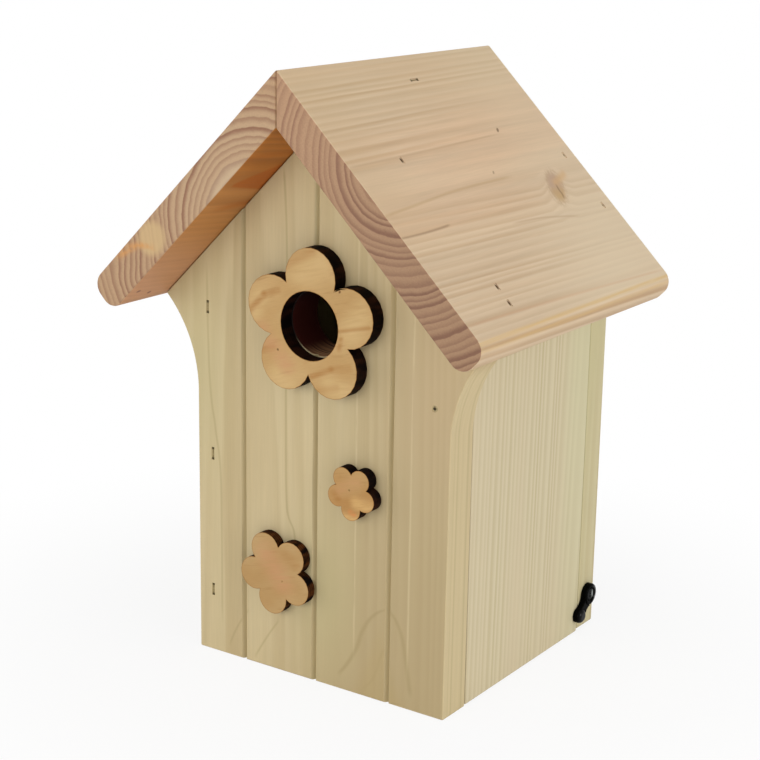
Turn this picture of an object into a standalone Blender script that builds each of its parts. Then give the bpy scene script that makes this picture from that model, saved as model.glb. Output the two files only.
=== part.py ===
"""Bird nest box: a gabled wooden box with a flower round its entrance and a side that swings open.

Sizes are in metres. +Z is up, the front faces -Y and the swinging side is at +X. The origin is on
the ground, in the middle of the room that the whole box takes, its roof included.
"""

import math

import bmesh
import bpy
from mathutils import Matrix, Vector

# Boards
BODY_WIDTH = 0.143
SIDE_DEPTH = 0.1085
FRONT_THICKNESS = 0.019
BACK_THICKNESS = 0.016
WALL_THICKNESS = 0.017
FLOOR_THICKNESS = 0.018
ROOF_THICKNESS = 0.0175
EDGE_EASE = 0.0007

# Roof, where the ridge height is that of the sharp ridge before its edges are eased
RIDGE_HEIGHT = 0.2915
ROOF_PITCH = math.radians(44.5)
ROOF_SLOPE_LENGTH = 0.1515
ROOF_OVERHANG = 0.0325
ROOF_BACK_SETBACK = 0.0025
EAVE_RADIUS = 0.007

# Front panel: its upper sides sweep out to the eaves from this far below the ridge
FLARE_DROP = 0.1595
FLARE_RADIUS = 0.063
GROOVE_COUNT = 3
GROOVE_PITCH = 0.042
GROOVE_SHIFT = -0.0017
GROOVE_WIDTH = 0.003
GROOVE_DEPTH = 0.002

# Entrance, this far below the ridge. Its hole in the panel is a little smaller than the flower's
ENTRANCE_X = 0.0005
ENTRANCE_DROP = 0.1155
ENTRANCE_DIAMETER = 0.032
ENTRANCE_LEDGE = 0.0005

# Flowers: radius of the petal tips and of the notches between them. The small ones stand at
# shares of the entrance's height
ENTRANCE_FLOWER_RADIUS = 0.0358
ENTRANCE_NOTCH_RADIUS = 0.0226
ENTRANCE_FLOWER_THICKNESS = 0.008
ENTRANCE_FLOWER_TURN = math.radians(-1)
UPPER_FLOWER_X = 0.0231
UPPER_FLOWER_HEIGHT_SHARE = 0.5744
UPPER_FLOWER_RADIUS = 0.0131
UPPER_NOTCH_RADIUS = 0.0088
UPPER_FLOWER_THICKNESS = 0.006
UPPER_FLOWER_TURN = math.radians(180)
LOWER_FLOWER_X = -0.0207
LOWER_FLOWER_HEIGHT_SHARE = 0.2943
LOWER_FLOWER_RADIUS = 0.0207
LOWER_NOTCH_RADIUS = 0.0134
LOWER_FLOWER_THICKNESS = 0.005
LOWER_FLOWER_TURN = math.radians(29)
PETAL_COUNT = 5

# How far the lower edges stand above the ground
BACK_FOOT = 0.0015
DOOR_FOOT = 0.0005
FLOOR_FOOT = 0.008
FLOOR_CORNER_CUT = 0.010

# Swinging side, whose nails lie this far below the ridge
PIVOT_DROP = 0.1448
DOOR_SIDE_PLAY = 0.0008
DOOR_TOP_GAP = 0.003

# Clearances: between touching pieces, and how far a cutter runs past what it cuts
GAP = 0.0003
OVERRUN = 0.004

# Staples, on the walls, the floor and the ridge
STAPLE_CROWN = 0.0058
STAPLE_LEG = 0.030
STAPLE_WIRE_WIDTH = 0.0012
STAPLE_WIRE_THICKNESS = 0.0010
STAPLE_SINK = 0.0006

# Flat nails that hold the roof boards, their narrow heads lying down the slope
ROOF_NAIL_HEAD_LENGTH = 0.0032
ROOF_NAIL_SHANK_LENGTH = 0.0016
ROOF_NAIL_WIDTH = 0.0013
ROOF_NAIL_HEAD_THICKNESS = 0.0009
ROOF_NAIL_LENGTH = 0.038
ROOF_NAIL_SINK = 0.0005

# Brads, which have no head, and the nails that the side swings on
BRAD_DIAMETER = 0.0012
BRAD_LENGTH = 0.018
BRAD_SINK = 0.0004
NAIL_DIAMETER = 0.0020
NAIL_LENGTH = 0.045
NAIL_HEAD_DIAMETER = 0.0027
NAIL_HEAD_THICKNESS = 0.0008
NAIL_POINT_LENGTH = 0.003
NAIL_SINK = 0.0004

# Countersunk screws
SCREW_HEAD_DIAMETER = 0.0058
SCREW_SHANK_DIAMETER = 0.003
SCREW_POINT_LENGTH = 0.004
SCREW_SINK = 0.0005
SCREW_SLOT_WIDTH = 0.0008
SCREW_SLOT_DEPTH = 0.0007
SCREW_SLOT_TIP_SHARE = 0.7
SCREW_SLOT_REACH_SHARE = 0.65
BUTTON_SCREW_LENGTH = 0.025
HANGER_SCREW_LENGTH = 0.013

# Turn button
BUTTON_HEIGHT = 0.0187
BUTTON_SPACING = 0.013
BUTTON_PIVOT_RADIUS = 0.0056
BUTTON_GRIP_RADIUS = 0.0038
BUTTON_WAIST_RADIUS = 0.006
BUTTON_PLATE_THICKNESS = 0.0021
BUTTON_BOSS_THICKNESS = 0.0031
BUTTON_GRIP_THICKNESS = 0.0041
BUTTON_BOSS_EASE = 0.0008
BUTTON_GRIP_EASE = 0.0021
BUTTON_DISH_RADIUS = 0.0042
BUTTON_DISH_DEPTH = 0.0008
BUTTON_REST_ANGLE = math.radians(43)

# Hanging plate, let into the back panel this far below the ridge
HANGER_WIDTH = 0.036
HANGER_HEIGHT = 0.016
HANGER_THICKNESS = 0.0016
HANGER_CORNER_RADIUS = 0.003
HANGER_DROP = 0.0695
HANGER_SCREW_SPACING = 0.026
KEYHOLE_HEAD_DIAMETER = 0.0086
KEYHOLE_SLOT_WIDTH = 0.0046
KEYHOLE_RISE = 0.0058
KEYHOLE_POCKET_DEPTH = 0.007
KEYHOLE_POCKET_MARGIN = 0.001

# Where fasteners sit, as shares of the board or the flower's radius that they go through
FRONT_STAPLE_PLACE_SHARES = ((0.37, 0.597), (0.52, 0.350), (0.50, 0.110))
BACK_STAPLE_PLACE_SHARES = ((0.5, 0.60), (0.5, 0.35), (0.5, 0.15))
ROOF_FRONT_ROW_SHARE = 0.29
ROOF_BACK_ROW_SHARE = 0.25
ROOF_RIGHT_FRONT_SHARES = (0.364, 0.824, 0.8825)
ROOF_LEFT_FRONT_SHARES = (0.364, 0.824)
ROOF_BACK_SHARES = (0.463, 0.670)
RIDGE_STAPLE_SLOPE_SHARE = 0.84
RIDGE_STAPLE_DEPTH_SHARE = 0.514
FLOOR_STAPLE_SHARES = (0.25, 0.75)
ENTRANCE_BRAD_SHARES = ((0.464, 0.503), (-0.492, -0.374))
UPPER_BRAD_SHARES = ((-0.07, 0.11),)
LOWER_BRAD_SHARES = ((0.20, -0.15),)

# How finely round shapes are drawn
ROUND_STEPS = 16
HOLE_STEPS = 40
PETAL_STEPS = 14
FLARE_STEPS = 20
EAVE_STEPS = 8
CORNER_STEPS = 4
BUTTON_EASE_STEPS = 4
BUTTON_DISH_STEPS = 4
EASE_SEGMENTS = 2
EASE_ANGLE = math.radians(40)
MERGE = 0.00001

# Places that follow from the sizes above
HALF_WIDTH = BODY_WIDTH / 2
FLARE_START = RIDGE_HEIGHT - FLARE_DROP
ENTRANCE_HEIGHT = RIDGE_HEIGHT - ENTRANCE_DROP
PIVOT_HEIGHT = RIDGE_HEIGHT - PIVOT_DROP
HANGER_MIDDLE_HEIGHT = RIDGE_HEIGHT - HANGER_DROP
UPPER_FLOWER_HEIGHT = ENTRANCE_HEIGHT * UPPER_FLOWER_HEIGHT_SHARE
LOWER_FLOWER_HEIGHT = ENTRANCE_HEIGHT * LOWER_FLOWER_HEIGHT_SHARE
BODY_DEPTH = FRONT_THICKNESS + SIDE_DEPTH + BACK_THICKNESS
FRONT_Y = (ROOF_OVERHANG - BODY_DEPTH) / 2
SIDE_Y = FRONT_Y + FRONT_THICKNESS
REAR_INNER_Y = SIDE_Y + SIDE_DEPTH
BACK_Y = FRONT_Y + BODY_DEPTH
INNER_X = HALF_WIDTH - WALL_THICKNESS
PIVOT_X = HALF_WIDTH - WALL_THICKNESS / 2
BUTTON_Y = REAR_INNER_Y + BACK_THICKNESS / 2
ALONG_SLOPE = Vector((math.cos(ROOF_PITCH), 0, -math.sin(ROOF_PITCH)))
OFF_SLOPE = Vector((math.sin(ROOF_PITCH), 0, math.cos(ROOF_PITCH)))
RIGHT = Vector((1, 0, 0))
BACKWARD = Vector((0, 1, 0))
UP = Vector((0, 0, 1))
FORWARD = -BACKWARD
LEFT = -RIGHT


def clear_scene():
    for old in list(bpy.data.objects):
        bpy.data.objects.remove(old, do_unlink=True)


def new_collection(name):
    collection = bpy.data.collections.new(name)
    bpy.context.scene.collection.children.link(collection)
    return collection


def new_material(name, colour, roughness, metallic=0.0):
    material = bpy.data.materials.new(name)
    material.use_nodes = True
    shader = material.node_tree.nodes["Principled BSDF"]
    shader.inputs["Base Color"].default_value = (*colour, 1)
    shader.inputs["Roughness"].default_value = roughness
    shader.inputs["Metallic"].default_value = metallic
    material.diffuse_color = (*colour, 1)
    return material


def frame(origin, x_axis, z_axis):
    """The placement that turns a piece's own X and Z to these directions."""
    y_axis = z_axis.cross(x_axis)
    turn = Matrix((x_axis, y_axis, z_axis)).transposed().to_4x4()
    return Matrix.Translation(origin) @ turn


def facing_front(x, y, z):
    """A flat outline stands up here, its own Z towards the front."""
    return frame(Vector((x, y, z)), RIGHT, FORWARD)


def arc(centre_x, centre_y, radius, start, end, steps):
    """Points along an arc, both ends included."""
    angles = [start + (end - start) * step / steps for step in range(steps + 1)]
    return [(centre_x + radius * math.cos(a), centre_y + radius * math.sin(a)) for a in angles]


def circle(centre_x, centre_y, radius, steps):
    return arc(centre_x, centre_y, radius, 0, math.tau, steps)[:-1]


def weld(mesh):
    """Joins the loose caps of a filled curve and makes each flat side one face."""
    shape = bmesh.new()
    shape.from_mesh(mesh)
    bmesh.ops.remove_doubles(shape, verts=shape.verts, dist=MERGE)
    bmesh.ops.dissolve_limit(
        shape, angle_limit=math.radians(0.5), verts=shape.verts, edges=shape.edges
    )
    bmesh.ops.recalc_face_normals(shape, faces=shape.faces)
    shape.to_mesh(mesh)
    shape.free()


def outline_mesh(name, loops, thickness):
    """A flat outline with its holes, as thick as asked, half on each side of its plane."""
    curve = bpy.data.curves.new(name, "CURVE")
    curve.dimensions = "2D"
    curve.fill_mode = "BOTH"
    curve.extrude = thickness / 2
    for loop in loops:
        spline = curve.splines.new("POLY")
        spline.points.add(len(loop) - 1)
        for point, (x, y) in zip(spline.points, loop):
            point.co = (x, y, 0, 1)
        spline.use_cyclic_u = True
    guide = bpy.data.objects.new(name, curve)
    bpy.context.scene.collection.objects.link(guide)
    graph = bpy.context.evaluated_depsgraph_get()
    mesh = bpy.data.meshes.new_from_object(guide.evaluated_get(graph))
    bpy.data.objects.remove(guide)
    bpy.data.curves.remove(curve)
    mesh.name = name
    weld(mesh)
    return mesh


def turned_mesh(name, profile):
    """A profile turned about Z. It runs down the outer side, from the axis to the axis."""
    mesh = bpy.data.meshes.new(name)
    points = [(radius, 0, height) for radius, height in profile]
    edges = [(index, index + 1) for index in range(len(points) - 1)]
    mesh.from_pydata(points, edges, [])
    guide = bpy.data.objects.new(name, mesh)
    bpy.context.scene.collection.objects.link(guide)
    screw = guide.modifiers.new("turn", "SCREW")
    screw.axis = "Z"
    screw.steps = screw.render_steps = ROUND_STEPS
    screw.use_merge_vertices = True
    screw.merge_threshold = MERGE
    graph = bpy.context.evaluated_depsgraph_get()
    turned = bpy.data.meshes.new_from_object(guide.evaluated_get(graph))
    bpy.data.objects.remove(guide)
    bpy.data.meshes.remove(mesh)
    turned.name = name
    return turned


def joined_mesh(name, mesh, places):
    """One mesh that holds a copy of another at each place."""
    group = bmesh.new()
    for place in places:
        copy = mesh.copy()
        copy.transform(place)
        group.from_mesh(copy)
        bpy.data.meshes.remove(copy)
    result = bpy.data.meshes.new(name)
    group.to_mesh(result)
    group.free()
    return result


def numbered(name, places):
    """A name for the piece at each place, with a number where there is more than one."""
    if len(places) == 1:
        return [name]
    return [f"{name}_{number}" for number in range(1, len(places) + 1)]


def add_object(name, mesh, collection, place=None):
    made = bpy.data.objects.new(name, mesh)
    collection.objects.link(made)
    if place is not None:
        made.matrix_world = place
    return made


def add_part(name, mesh, material, place=None):
    part = add_object(name, mesh, PARTS, place)
    mesh.materials.clear()
    mesh.materials.append(material)
    return part


def add_cutter(name, mesh, place=None):
    cutter = add_object(name, mesh, CUTTERS, place)
    cutter.hide_render = True
    cutter.display_type = "WIRE"
    return cutter


def ease_edges(part, width=EDGE_EASE):
    bevel = part.modifiers.new("eased edges", "BEVEL")
    bevel.width = width
    bevel.segments = EASE_SEGMENTS
    bevel.limit_method = "ANGLE"
    bevel.angle_limit = EASE_ANGLE


def combine(part, other, operation):
    boolean = part.modifiers.new(other.name, "BOOLEAN")
    boolean.operation = operation
    boolean.solver = "EXACT"
    boolean.object = other


def cut(part, cutter):
    combine(part, cutter, "DIFFERENCE")


def shade_round(part):
    part.data.shade_smooth()
    part.data.set_sharp_from_angle(angle=EASE_ANGLE)


def under_roof(x, clearance):
    """Height of a line that runs below the roof boards at this distance from the middle."""
    drop = (ROOF_THICKNESS + clearance) / math.cos(ROOF_PITCH)
    return RIDGE_HEIGHT - drop - abs(x) * math.tan(ROOF_PITCH)


def flare_arc():
    """The right side of the front panel from where it leaves the upright up to the roof."""
    centre_x = HALF_WIDTH + FLARE_RADIUS
    to_roof = under_roof(0, GAP) * math.cos(ROOF_PITCH)
    to_centre = centre_x * math.sin(ROOF_PITCH) + FLARE_START * math.cos(ROOF_PITCH)
    reach = max(-1, min(1, (to_roof - to_centre) / FLARE_RADIUS))
    end = math.pi - ROOF_PITCH - math.asin(reach)
    return arc(centre_x, FLARE_START, FLARE_RADIUS, math.pi, end, FLARE_STEPS)


def mirrored(points):
    """The same outline on the other side of the middle, still running the same way round."""
    return [(-x, y) for x, y in reversed(points)]


def groove_profile():
    """One groove seen from below, its mouth open past the panel's face."""
    half = GROOVE_WIDTH / 2
    spread = half * (GROOVE_DEPTH + OVERRUN) / GROOVE_DEPTH
    return [(0, GROOVE_DEPTH), (-spread, -OVERRUN), (spread, -OVERRUN)]


def add_grooves(panel):
    length = RIDGE_HEIGHT + OVERRUN * 2
    mesh = outline_mesh("groove", [groove_profile()], length)
    middle = (GROOVE_COUNT - 1) / 2
    places = []
    for index in range(GROOVE_COUNT):
        x = GROOVE_SHIFT + (index - middle) * GROOVE_PITCH
        places.append(Matrix.Translation((x, FRONT_Y, RIDGE_HEIGHT / 2)))
    cut(panel, add_cutter("groove_cutters", joined_mesh("groove_cutters", mesh, places)))


def make_front_panel(wood):
    side = [(HALF_WIDTH, 0)] + flare_arc()
    outline = [*side, (0, under_roof(0, GAP)), *mirrored(side)]
    mesh = outline_mesh("front_panel", [outline], FRONT_THICKNESS)
    panel = add_part("front_panel", mesh, wood, facing_front(0, FRONT_Y + FRONT_THICKNESS / 2, 0))
    ease_edges(panel)
    add_grooves(panel)
    radius = ENTRANCE_DIAMETER / 2 - ENTRANCE_LEDGE
    hole = outline_mesh("entrance_cutter", [circle(0, 0, radius, HOLE_STEPS)], BODY_DEPTH / 2)
    cut(panel, add_cutter("entrance_cutter", hole, facing_front(ENTRANCE_X, FRONT_Y, ENTRANCE_HEIGHT)))
    return panel


def make_back_panel(wood):
    side = [(HALF_WIDTH, BACK_FOOT), (HALF_WIDTH, under_roof(HALF_WIDTH, GAP))]
    outline = [*side, (0, under_roof(0, GAP)), *mirrored(side)]
    mesh = outline_mesh("back_panel", [outline], BACK_THICKNESS)
    panel = add_part("back_panel", mesh, wood, facing_front(0, BUTTON_Y, 0))
    ease_edges(panel)
    return panel


def wall_outline(foot, top_gap):
    """The section of the right side wall, with its top cut to the slope of the roof."""
    return [
        (INNER_X, foot),
        (HALF_WIDTH, foot),
        (HALF_WIDTH, under_roof(HALF_WIDTH, top_gap)),
        (INNER_X, under_roof(INNER_X, top_gap)),
    ]


def make_left_wall(wood):
    mesh = outline_mesh("left_wall", [mirrored(wall_outline(0, GAP))], SIDE_DEPTH - GAP * 2)
    wall = add_part("left_wall", mesh, wood, facing_front(0, SIDE_Y + SIDE_DEPTH / 2, 0))
    ease_edges(wall)
    return wall


def make_side_door(wood):
    """The swinging side, whose origin lies on the line through its two nails."""
    outline = wall_outline(DOOR_FOOT, DOOR_TOP_GAP)
    about_pivot = [(x - PIVOT_X, z - PIVOT_HEIGHT) for x, z in outline]
    mesh = outline_mesh("side_door", [about_pivot], SIDE_DEPTH - DOOR_SIDE_PLAY * 2)
    place = facing_front(PIVOT_X, SIDE_Y + SIDE_DEPTH / 2, PIVOT_HEIGHT)
    door = add_part("side_door", mesh, wood, place)
    ease_edges(door)
    return door


def make_floor(wood):
    """The floor, with its corners cut off so that water drains and air comes in."""
    x = INNER_X - GAP
    y = SIDE_DEPTH / 2 - GAP
    cut_off = FLOOR_CORNER_CUT
    right = [(x - cut_off, -y), (x, cut_off - y), (x, y - cut_off), (x - cut_off, y)]
    mesh = outline_mesh("floor", [[*right, *mirrored(right)]], FLOOR_THICKNESS)
    place = Matrix.Translation((0, SIDE_Y + SIDE_DEPTH / 2, FLOOR_FOOT + FLOOR_THICKNESS / 2))
    floor = add_part("floor", mesh, wood, place)
    ease_edges(floor)
    return floor


def slope_point(along, depth):
    """A point of the right roof board's section, this far down the slope and below its top."""
    point = UP * RIDGE_HEIGHT + ALONG_SLOPE * along - OFF_SLOPE * depth
    return point.x, point.z


def eave_corner(depth, start):
    """A quarter round at the lower end of the right roof board, centred this deep in it."""
    centre_x, centre_z = slope_point(ROOF_SLOPE_LENGTH - EAVE_RADIUS, depth)
    first = start - ROOF_PITCH
    return arc(centre_x, centre_z, EAVE_RADIUS, first, first - math.pi / 2, EAVE_STEPS)


def roof_outline():
    """The right roof board's section, mitred to stand beside the left one at the ridge."""
    mitre = GAP / 2
    under = (mitre + ROOF_THICKNESS * math.sin(ROOF_PITCH)) / math.cos(ROOF_PITCH)
    return [
        slope_point(mitre / math.cos(ROOF_PITCH), 0),
        *eave_corner(EAVE_RADIUS, math.pi / 2),
        *eave_corner(ROOF_THICKNESS - EAVE_RADIUS, 0),
        slope_point(under, ROOF_THICKNESS),
    ]


def make_roof_board(name, outline, wood):
    front = FRONT_Y - ROOF_OVERHANG
    back = BACK_Y - ROOF_BACK_SETBACK
    mesh = outline_mesh(name, [outline], back - front)
    board = add_part(name, mesh, wood, facing_front(0, (front + back) / 2, 0))
    ease_edges(board)
    return board


def flower_outline(radius, notch_radius, turn):
    """Round petals: each is the arc from notch to notch that touches the petal tip's circle."""
    half_angle = math.pi / PETAL_COUNT
    half_chord = notch_radius * math.sin(half_angle)
    rise = radius - notch_radius * math.cos(half_angle)
    petal_radius = (half_chord**2 + rise**2) / (rise * 2)
    spread = math.atan2(half_chord, petal_radius - rise)
    outline = []
    for petal in range(PETAL_COUNT):
        angle = math.pi / 2 + turn + half_angle * 2 * petal
        reach = radius - petal_radius
        centre = (reach * math.cos(angle), reach * math.sin(angle))
        around = arc(*centre, petal_radius, angle - spread, angle + spread, PETAL_STEPS)
        outline += around[:-1]
    return outline


def brad_profile(clearance, head_rise):
    radius = BRAD_DIAMETER / 2 + clearance
    return [(0, head_rise), (radius, head_rise), (radius, -BRAD_LENGTH - clearance),
            (0, -BRAD_LENGTH - clearance)]


def add_brads(name, spots, face_y, steel):
    """Brads driven straight back from a face, with the cutter for their holes."""
    sunk = [frame(Vector((x, face_y + BRAD_SINK, z)), RIGHT, FORWARD) for x, z in spots]
    brad = turned_mesh("brad", brad_profile(0, 0))
    for piece_name, place in zip(numbered(name, sunk), sunk):
        shade_round(add_part(piece_name, brad, steel, place))
    hole = turned_mesh("brad_hole", brad_profile(GAP, BRAD_SINK + OVERRUN))
    return add_cutter(name + "_cutter", joined_mesh(name + "_cutter", hole, sunk))


def make_flower(name, x, z, loops, thickness, ply):
    mesh = outline_mesh(name, loops, thickness)
    y = FRONT_Y - GAP - thickness / 2
    return add_part(name, mesh, ply, facing_front(x, y, z))


def make_flowers(front_panel, ply, steel):
    """The flower round the entrance and the two small ones, nailed to the front panel."""
    entrance = circle(0, 0, ENTRANCE_DIAMETER / 2, HOLE_STEPS)
    flowers = (
        ("entrance_flower", ENTRANCE_X, ENTRANCE_HEIGHT, ENTRANCE_FLOWER_RADIUS,
         ENTRANCE_NOTCH_RADIUS, ENTRANCE_FLOWER_TURN, ENTRANCE_FLOWER_THICKNESS, [entrance],
         ENTRANCE_BRAD_SHARES),
        ("upper_flower", UPPER_FLOWER_X, UPPER_FLOWER_HEIGHT, UPPER_FLOWER_RADIUS,
         UPPER_NOTCH_RADIUS, UPPER_FLOWER_TURN, UPPER_FLOWER_THICKNESS, [], UPPER_BRAD_SHARES),
        ("lower_flower", LOWER_FLOWER_X, LOWER_FLOWER_HEIGHT, LOWER_FLOWER_RADIUS,
         LOWER_NOTCH_RADIUS, LOWER_FLOWER_TURN, LOWER_FLOWER_THICKNESS, [], LOWER_BRAD_SHARES),
    )
    for name, x, z, radius, notch_radius, turn, thickness, holes, shares in flowers:
        outline = flower_outline(radius, notch_radius, turn)
        flower = make_flower(name, x, z, [outline, *holes], thickness, ply)
        spots = [(x + across * radius, z + up * radius) for across, up in shares]
        brad_holes = add_brads(name + "_brad", spots, FRONT_Y - GAP - thickness, steel)
        cut(flower, brad_holes)
        cut(front_panel, brad_holes)


def staple_outline(clearance, crown_rise):
    """A staple from the side, its crown's top at height zero and its legs pointing down."""
    outer = STAPLE_CROWN / 2 + clearance
    inner = STAPLE_CROWN / 2 - STAPLE_WIRE_WIDTH - clearance
    under = -STAPLE_WIRE_THICKNESS - clearance
    foot = -STAPLE_LEG - clearance
    right = [(inner, under), (inner, foot), (outer, foot), (outer, crown_rise)]
    return [*right, *mirrored(right)]


def roof_nail_outline(clearance, head_rise):
    """A flat nail from its wide side, its head's top at height zero and its shank pointing down."""
    head = ROOF_NAIL_HEAD_LENGTH / 2 + clearance
    shank = ROOF_NAIL_SHANK_LENGTH / 2 + clearance
    under = -ROOF_NAIL_HEAD_THICKNESS - clearance
    foot = -ROOF_NAIL_LENGTH - clearance
    right = [(shank, foot), (shank, under), (head, under), (head, head_rise)]
    return [*right, *mirrored(right)]


def drive_flat(name, places, steel, boards, outline, width, sink):
    """Flat fasteners whose tops lie sunk in the face at each place, and their holes in the boards.

    outline gives a fastener's side view for a clearance and for how far its top is raised.
    """
    sunk = [place @ Matrix.Translation((0, 0, -sink)) for place in places]
    upright = frame(Vector(), RIGHT, FORWARD)
    across = [place @ upright for place in sunk]
    fastener = outline_mesh(name, [outline(0, 0)], width)
    for piece_name, place in zip(numbered(name, across), across):
        add_part(piece_name, fastener, steel, place)
    slot = outline_mesh(name + "_slot", [outline(GAP, sink + OVERRUN)], width + GAP * 2)
    cutter = add_cutter(name + "_cutter", joined_mesh(name + "_cutter", slot, across))
    for board in boards:
        cut(board, cutter)


def add_staples(name, places, steel, boards):
    drive_flat(name, places, steel, boards, staple_outline, STAPLE_WIRE_WIDTH, STAPLE_SINK)


def add_roof_nails(name, places, steel, boards):
    drive_flat(name, places, steel, boards, roof_nail_outline, ROOF_NAIL_WIDTH, ROOF_NAIL_SINK)


def wall_staple_places(shares, y, outward):
    """Places on the front or back face over the left wall's edge."""
    places = []
    for across_share, height_share in shares:
        x = WALL_THICKNESS * across_share - HALF_WIDTH
        places.append(frame(Vector((x, y, RIDGE_HEIGHT * height_share)), UP, outward))
    return places


def roof_nail_places(side, front_shares):
    """Places on a roof board over the front and back panels, side being 1 or -1."""
    along = Vector((ALONG_SLOPE.x * side, 0, ALONG_SLOPE.z))
    off = Vector((OFF_SLOPE.x * side, 0, OFF_SLOPE.z))
    front_y = FRONT_Y + FRONT_THICKNESS * ROOF_FRONT_ROW_SHARE
    back_y = REAR_INNER_Y + BACK_THICKNESS * ROOF_BACK_ROW_SHARE
    rows = [(share, front_y) for share in front_shares]
    rows += [(share, back_y) for share in ROOF_BACK_SHARES]
    ridge = UP * RIDGE_HEIGHT
    return [
        frame(ridge + along * (ROOF_SLOPE_LENGTH * share) + BACKWARD * y, along, off)
        for share, y in rows
    ]


def make_staples_and_roof_nails(boards, steel):
    front, back, left = boards["front_panel"], boards["back_panel"], boards["left_wall"]
    roof_left, roof_right = boards["roof_left"], boards["roof_right"]
    floor = boards["floor"]
    places = wall_staple_places(FRONT_STAPLE_PLACE_SHARES, FRONT_Y, FORWARD)
    add_staples("front_staple", places, steel, [front, left])
    places = wall_staple_places(BACK_STAPLE_PLACE_SHARES, BACK_Y, BACKWARD)
    add_staples("back_staple", places, steel, [back, left])

    places = roof_nail_places(1, ROOF_RIGHT_FRONT_SHARES)
    add_roof_nails("roof_right_nail", places, steel, [roof_right, front, back])
    places = roof_nail_places(-1, ROOF_LEFT_FRONT_SHARES)
    add_roof_nails("roof_left_nail", places, steel, [roof_left, front, back])
    ridge_y = FRONT_Y - ROOF_OVERHANG + (ROOF_OVERHANG + BODY_DEPTH) * RIDGE_STAPLE_DEPTH_SHARE
    on_slope = ALONG_SLOPE * (ROOF_THICKNESS * RIDGE_STAPLE_SLOPE_SHARE)
    top = UP * RIDGE_HEIGHT + on_slope + BACKWARD * ridge_y
    places = [frame(top, BACKWARD, OFF_SLOPE)]
    add_staples("ridge_staple", places, steel, [roof_right, roof_left])

    z = FLOOR_FOOT + FLOOR_THICKNESS / 2
    places = [
        frame(Vector((-HALF_WIDTH, SIDE_Y + SIDE_DEPTH * share, z)), BACKWARD, LEFT)
        for share in FLOOR_STAPLE_SHARES
    ]
    add_staples("floor_side_staple", places, steel, [left, floor])
    places = [
        frame(Vector((INNER_X * (share * 2 - 1), BACK_Y, z)), RIGHT, BACKWARD)
        for share in FLOOR_STAPLE_SHARES
    ]
    add_staples("floor_back_staple", places, steel, [back, floor])


def nail_profile(clearance, head_rise):
    head = NAIL_HEAD_DIAMETER / 2 + clearance
    shank = NAIL_DIAMETER / 2 + clearance
    point = -NAIL_LENGTH - clearance
    return [
        (0, head_rise),
        (head, head_rise),
        (head, -NAIL_HEAD_THICKNESS - clearance),
        (shank, -NAIL_HEAD_THICKNESS - clearance),
        (shank, point + NAIL_POINT_LENGTH),
        (0, point),
    ]


def make_pivot_nails(boards, steel):
    """The two nails that the side swings on, one from the front and one from the back."""
    ends = (
        ("front", FRONT_Y, FORWARD, boards["front_panel"]),
        ("back", BACK_Y, BACKWARD, boards["back_panel"]),
    )
    for end, y, outward, panel in ends:
        name = end + "_pivot_nail"
        spot = Vector((PIVOT_X, y, PIVOT_HEIGHT)) - outward * NAIL_SINK
        place = frame(spot, RIGHT, outward)
        shade_round(add_part(name, turned_mesh(name, nail_profile(0, 0)), steel, place))
        hole = turned_mesh(name + "_cutter", nail_profile(GAP, NAIL_SINK + OVERRUN))
        cutter = add_cutter(name + "_cutter", hole, place)
        cut(panel, cutter)
        cut(boards["side_door"], cutter)


def screw_profile(length, clearance, head_rise):
    head = SCREW_HEAD_DIAMETER / 2 + clearance
    shank = SCREW_SHANK_DIAMETER / 2 + clearance
    point = -length - clearance
    return [
        (0, head_rise),
        (head, head_rise),
        (head, 0),
        (shank, shank - head),
        (shank, point + SCREW_POINT_LENGTH),
        (0, point),
    ]


def screw_solid(name, length):
    """A countersunk wood screw without its thread, its head's top at height zero."""
    profile = screw_profile(length, 0, 0)
    return turned_mesh(name, [profile[0], *profile[2:]])


def cross_cutter(name, places):
    """The cross that a screwdriver fits, cut into each screw's head."""
    root = SCREW_SLOT_WIDTH / 2
    tip = root * SCREW_SLOT_TIP_SHARE
    reach = SCREW_HEAD_DIAMETER / 2 * SCREW_SLOT_REACH_SHARE
    arms = [
        (tip, reach), (-tip, reach), (-root, root), (-reach, tip), (-reach, -tip), (-root, -root),
        (-tip, -reach), (tip, -reach), (root, -root), (reach, -tip), (reach, tip), (root, root),
    ]
    mesh = outline_mesh(name, [arms], SCREW_SLOT_DEPTH * 2)
    return add_cutter(name, joined_mesh(name, mesh, places))


def link_outline():
    """The turn button from above: two round ends and a waist whose hollow sides touch both."""
    to_pivot = BUTTON_PIVOT_RADIUS + BUTTON_WAIST_RADIUS
    to_grip = BUTTON_GRIP_RADIUS + BUTTON_WAIST_RADIUS
    waist_x = (BUTTON_SPACING**2 + to_pivot**2 - to_grip**2) / (BUTTON_SPACING * 2)
    waist_y = math.sqrt(to_pivot**2 - waist_x**2)
    at_pivot = math.atan2(waist_y, waist_x)
    at_grip = math.atan2(waist_y, waist_x - BUTTON_SPACING)
    grip = arc(BUTTON_SPACING, 0, BUTTON_GRIP_RADIUS, -at_grip, at_grip, ROUND_STEPS)
    from_grip, from_pivot = at_grip - math.pi, at_pivot - math.pi
    waist = arc(waist_x, waist_y, BUTTON_WAIST_RADIUS, from_grip, from_pivot, ROUND_STEPS // 2)
    pivot = arc(0, 0, BUTTON_PIVOT_RADIUS, at_pivot, math.tau - at_pivot, ROUND_STEPS)
    other_waist = [(x, -y) for x, y in reversed(waist)]
    return [*grip, *waist[1:-1], *pivot, *other_waist[1:-1]]


def round_boss(name, radius, thickness, ease, place):
    """A low round boss with an eased rim, its foot level with the plate's."""
    rim = arc(radius - ease, thickness - ease, ease, math.pi / 2, 0, BUTTON_EASE_STEPS)
    profile = [(0, thickness), *rim, (radius, 0), (0, 0)]
    return add_cutter(name, turned_mesh(name, profile), place)


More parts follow.
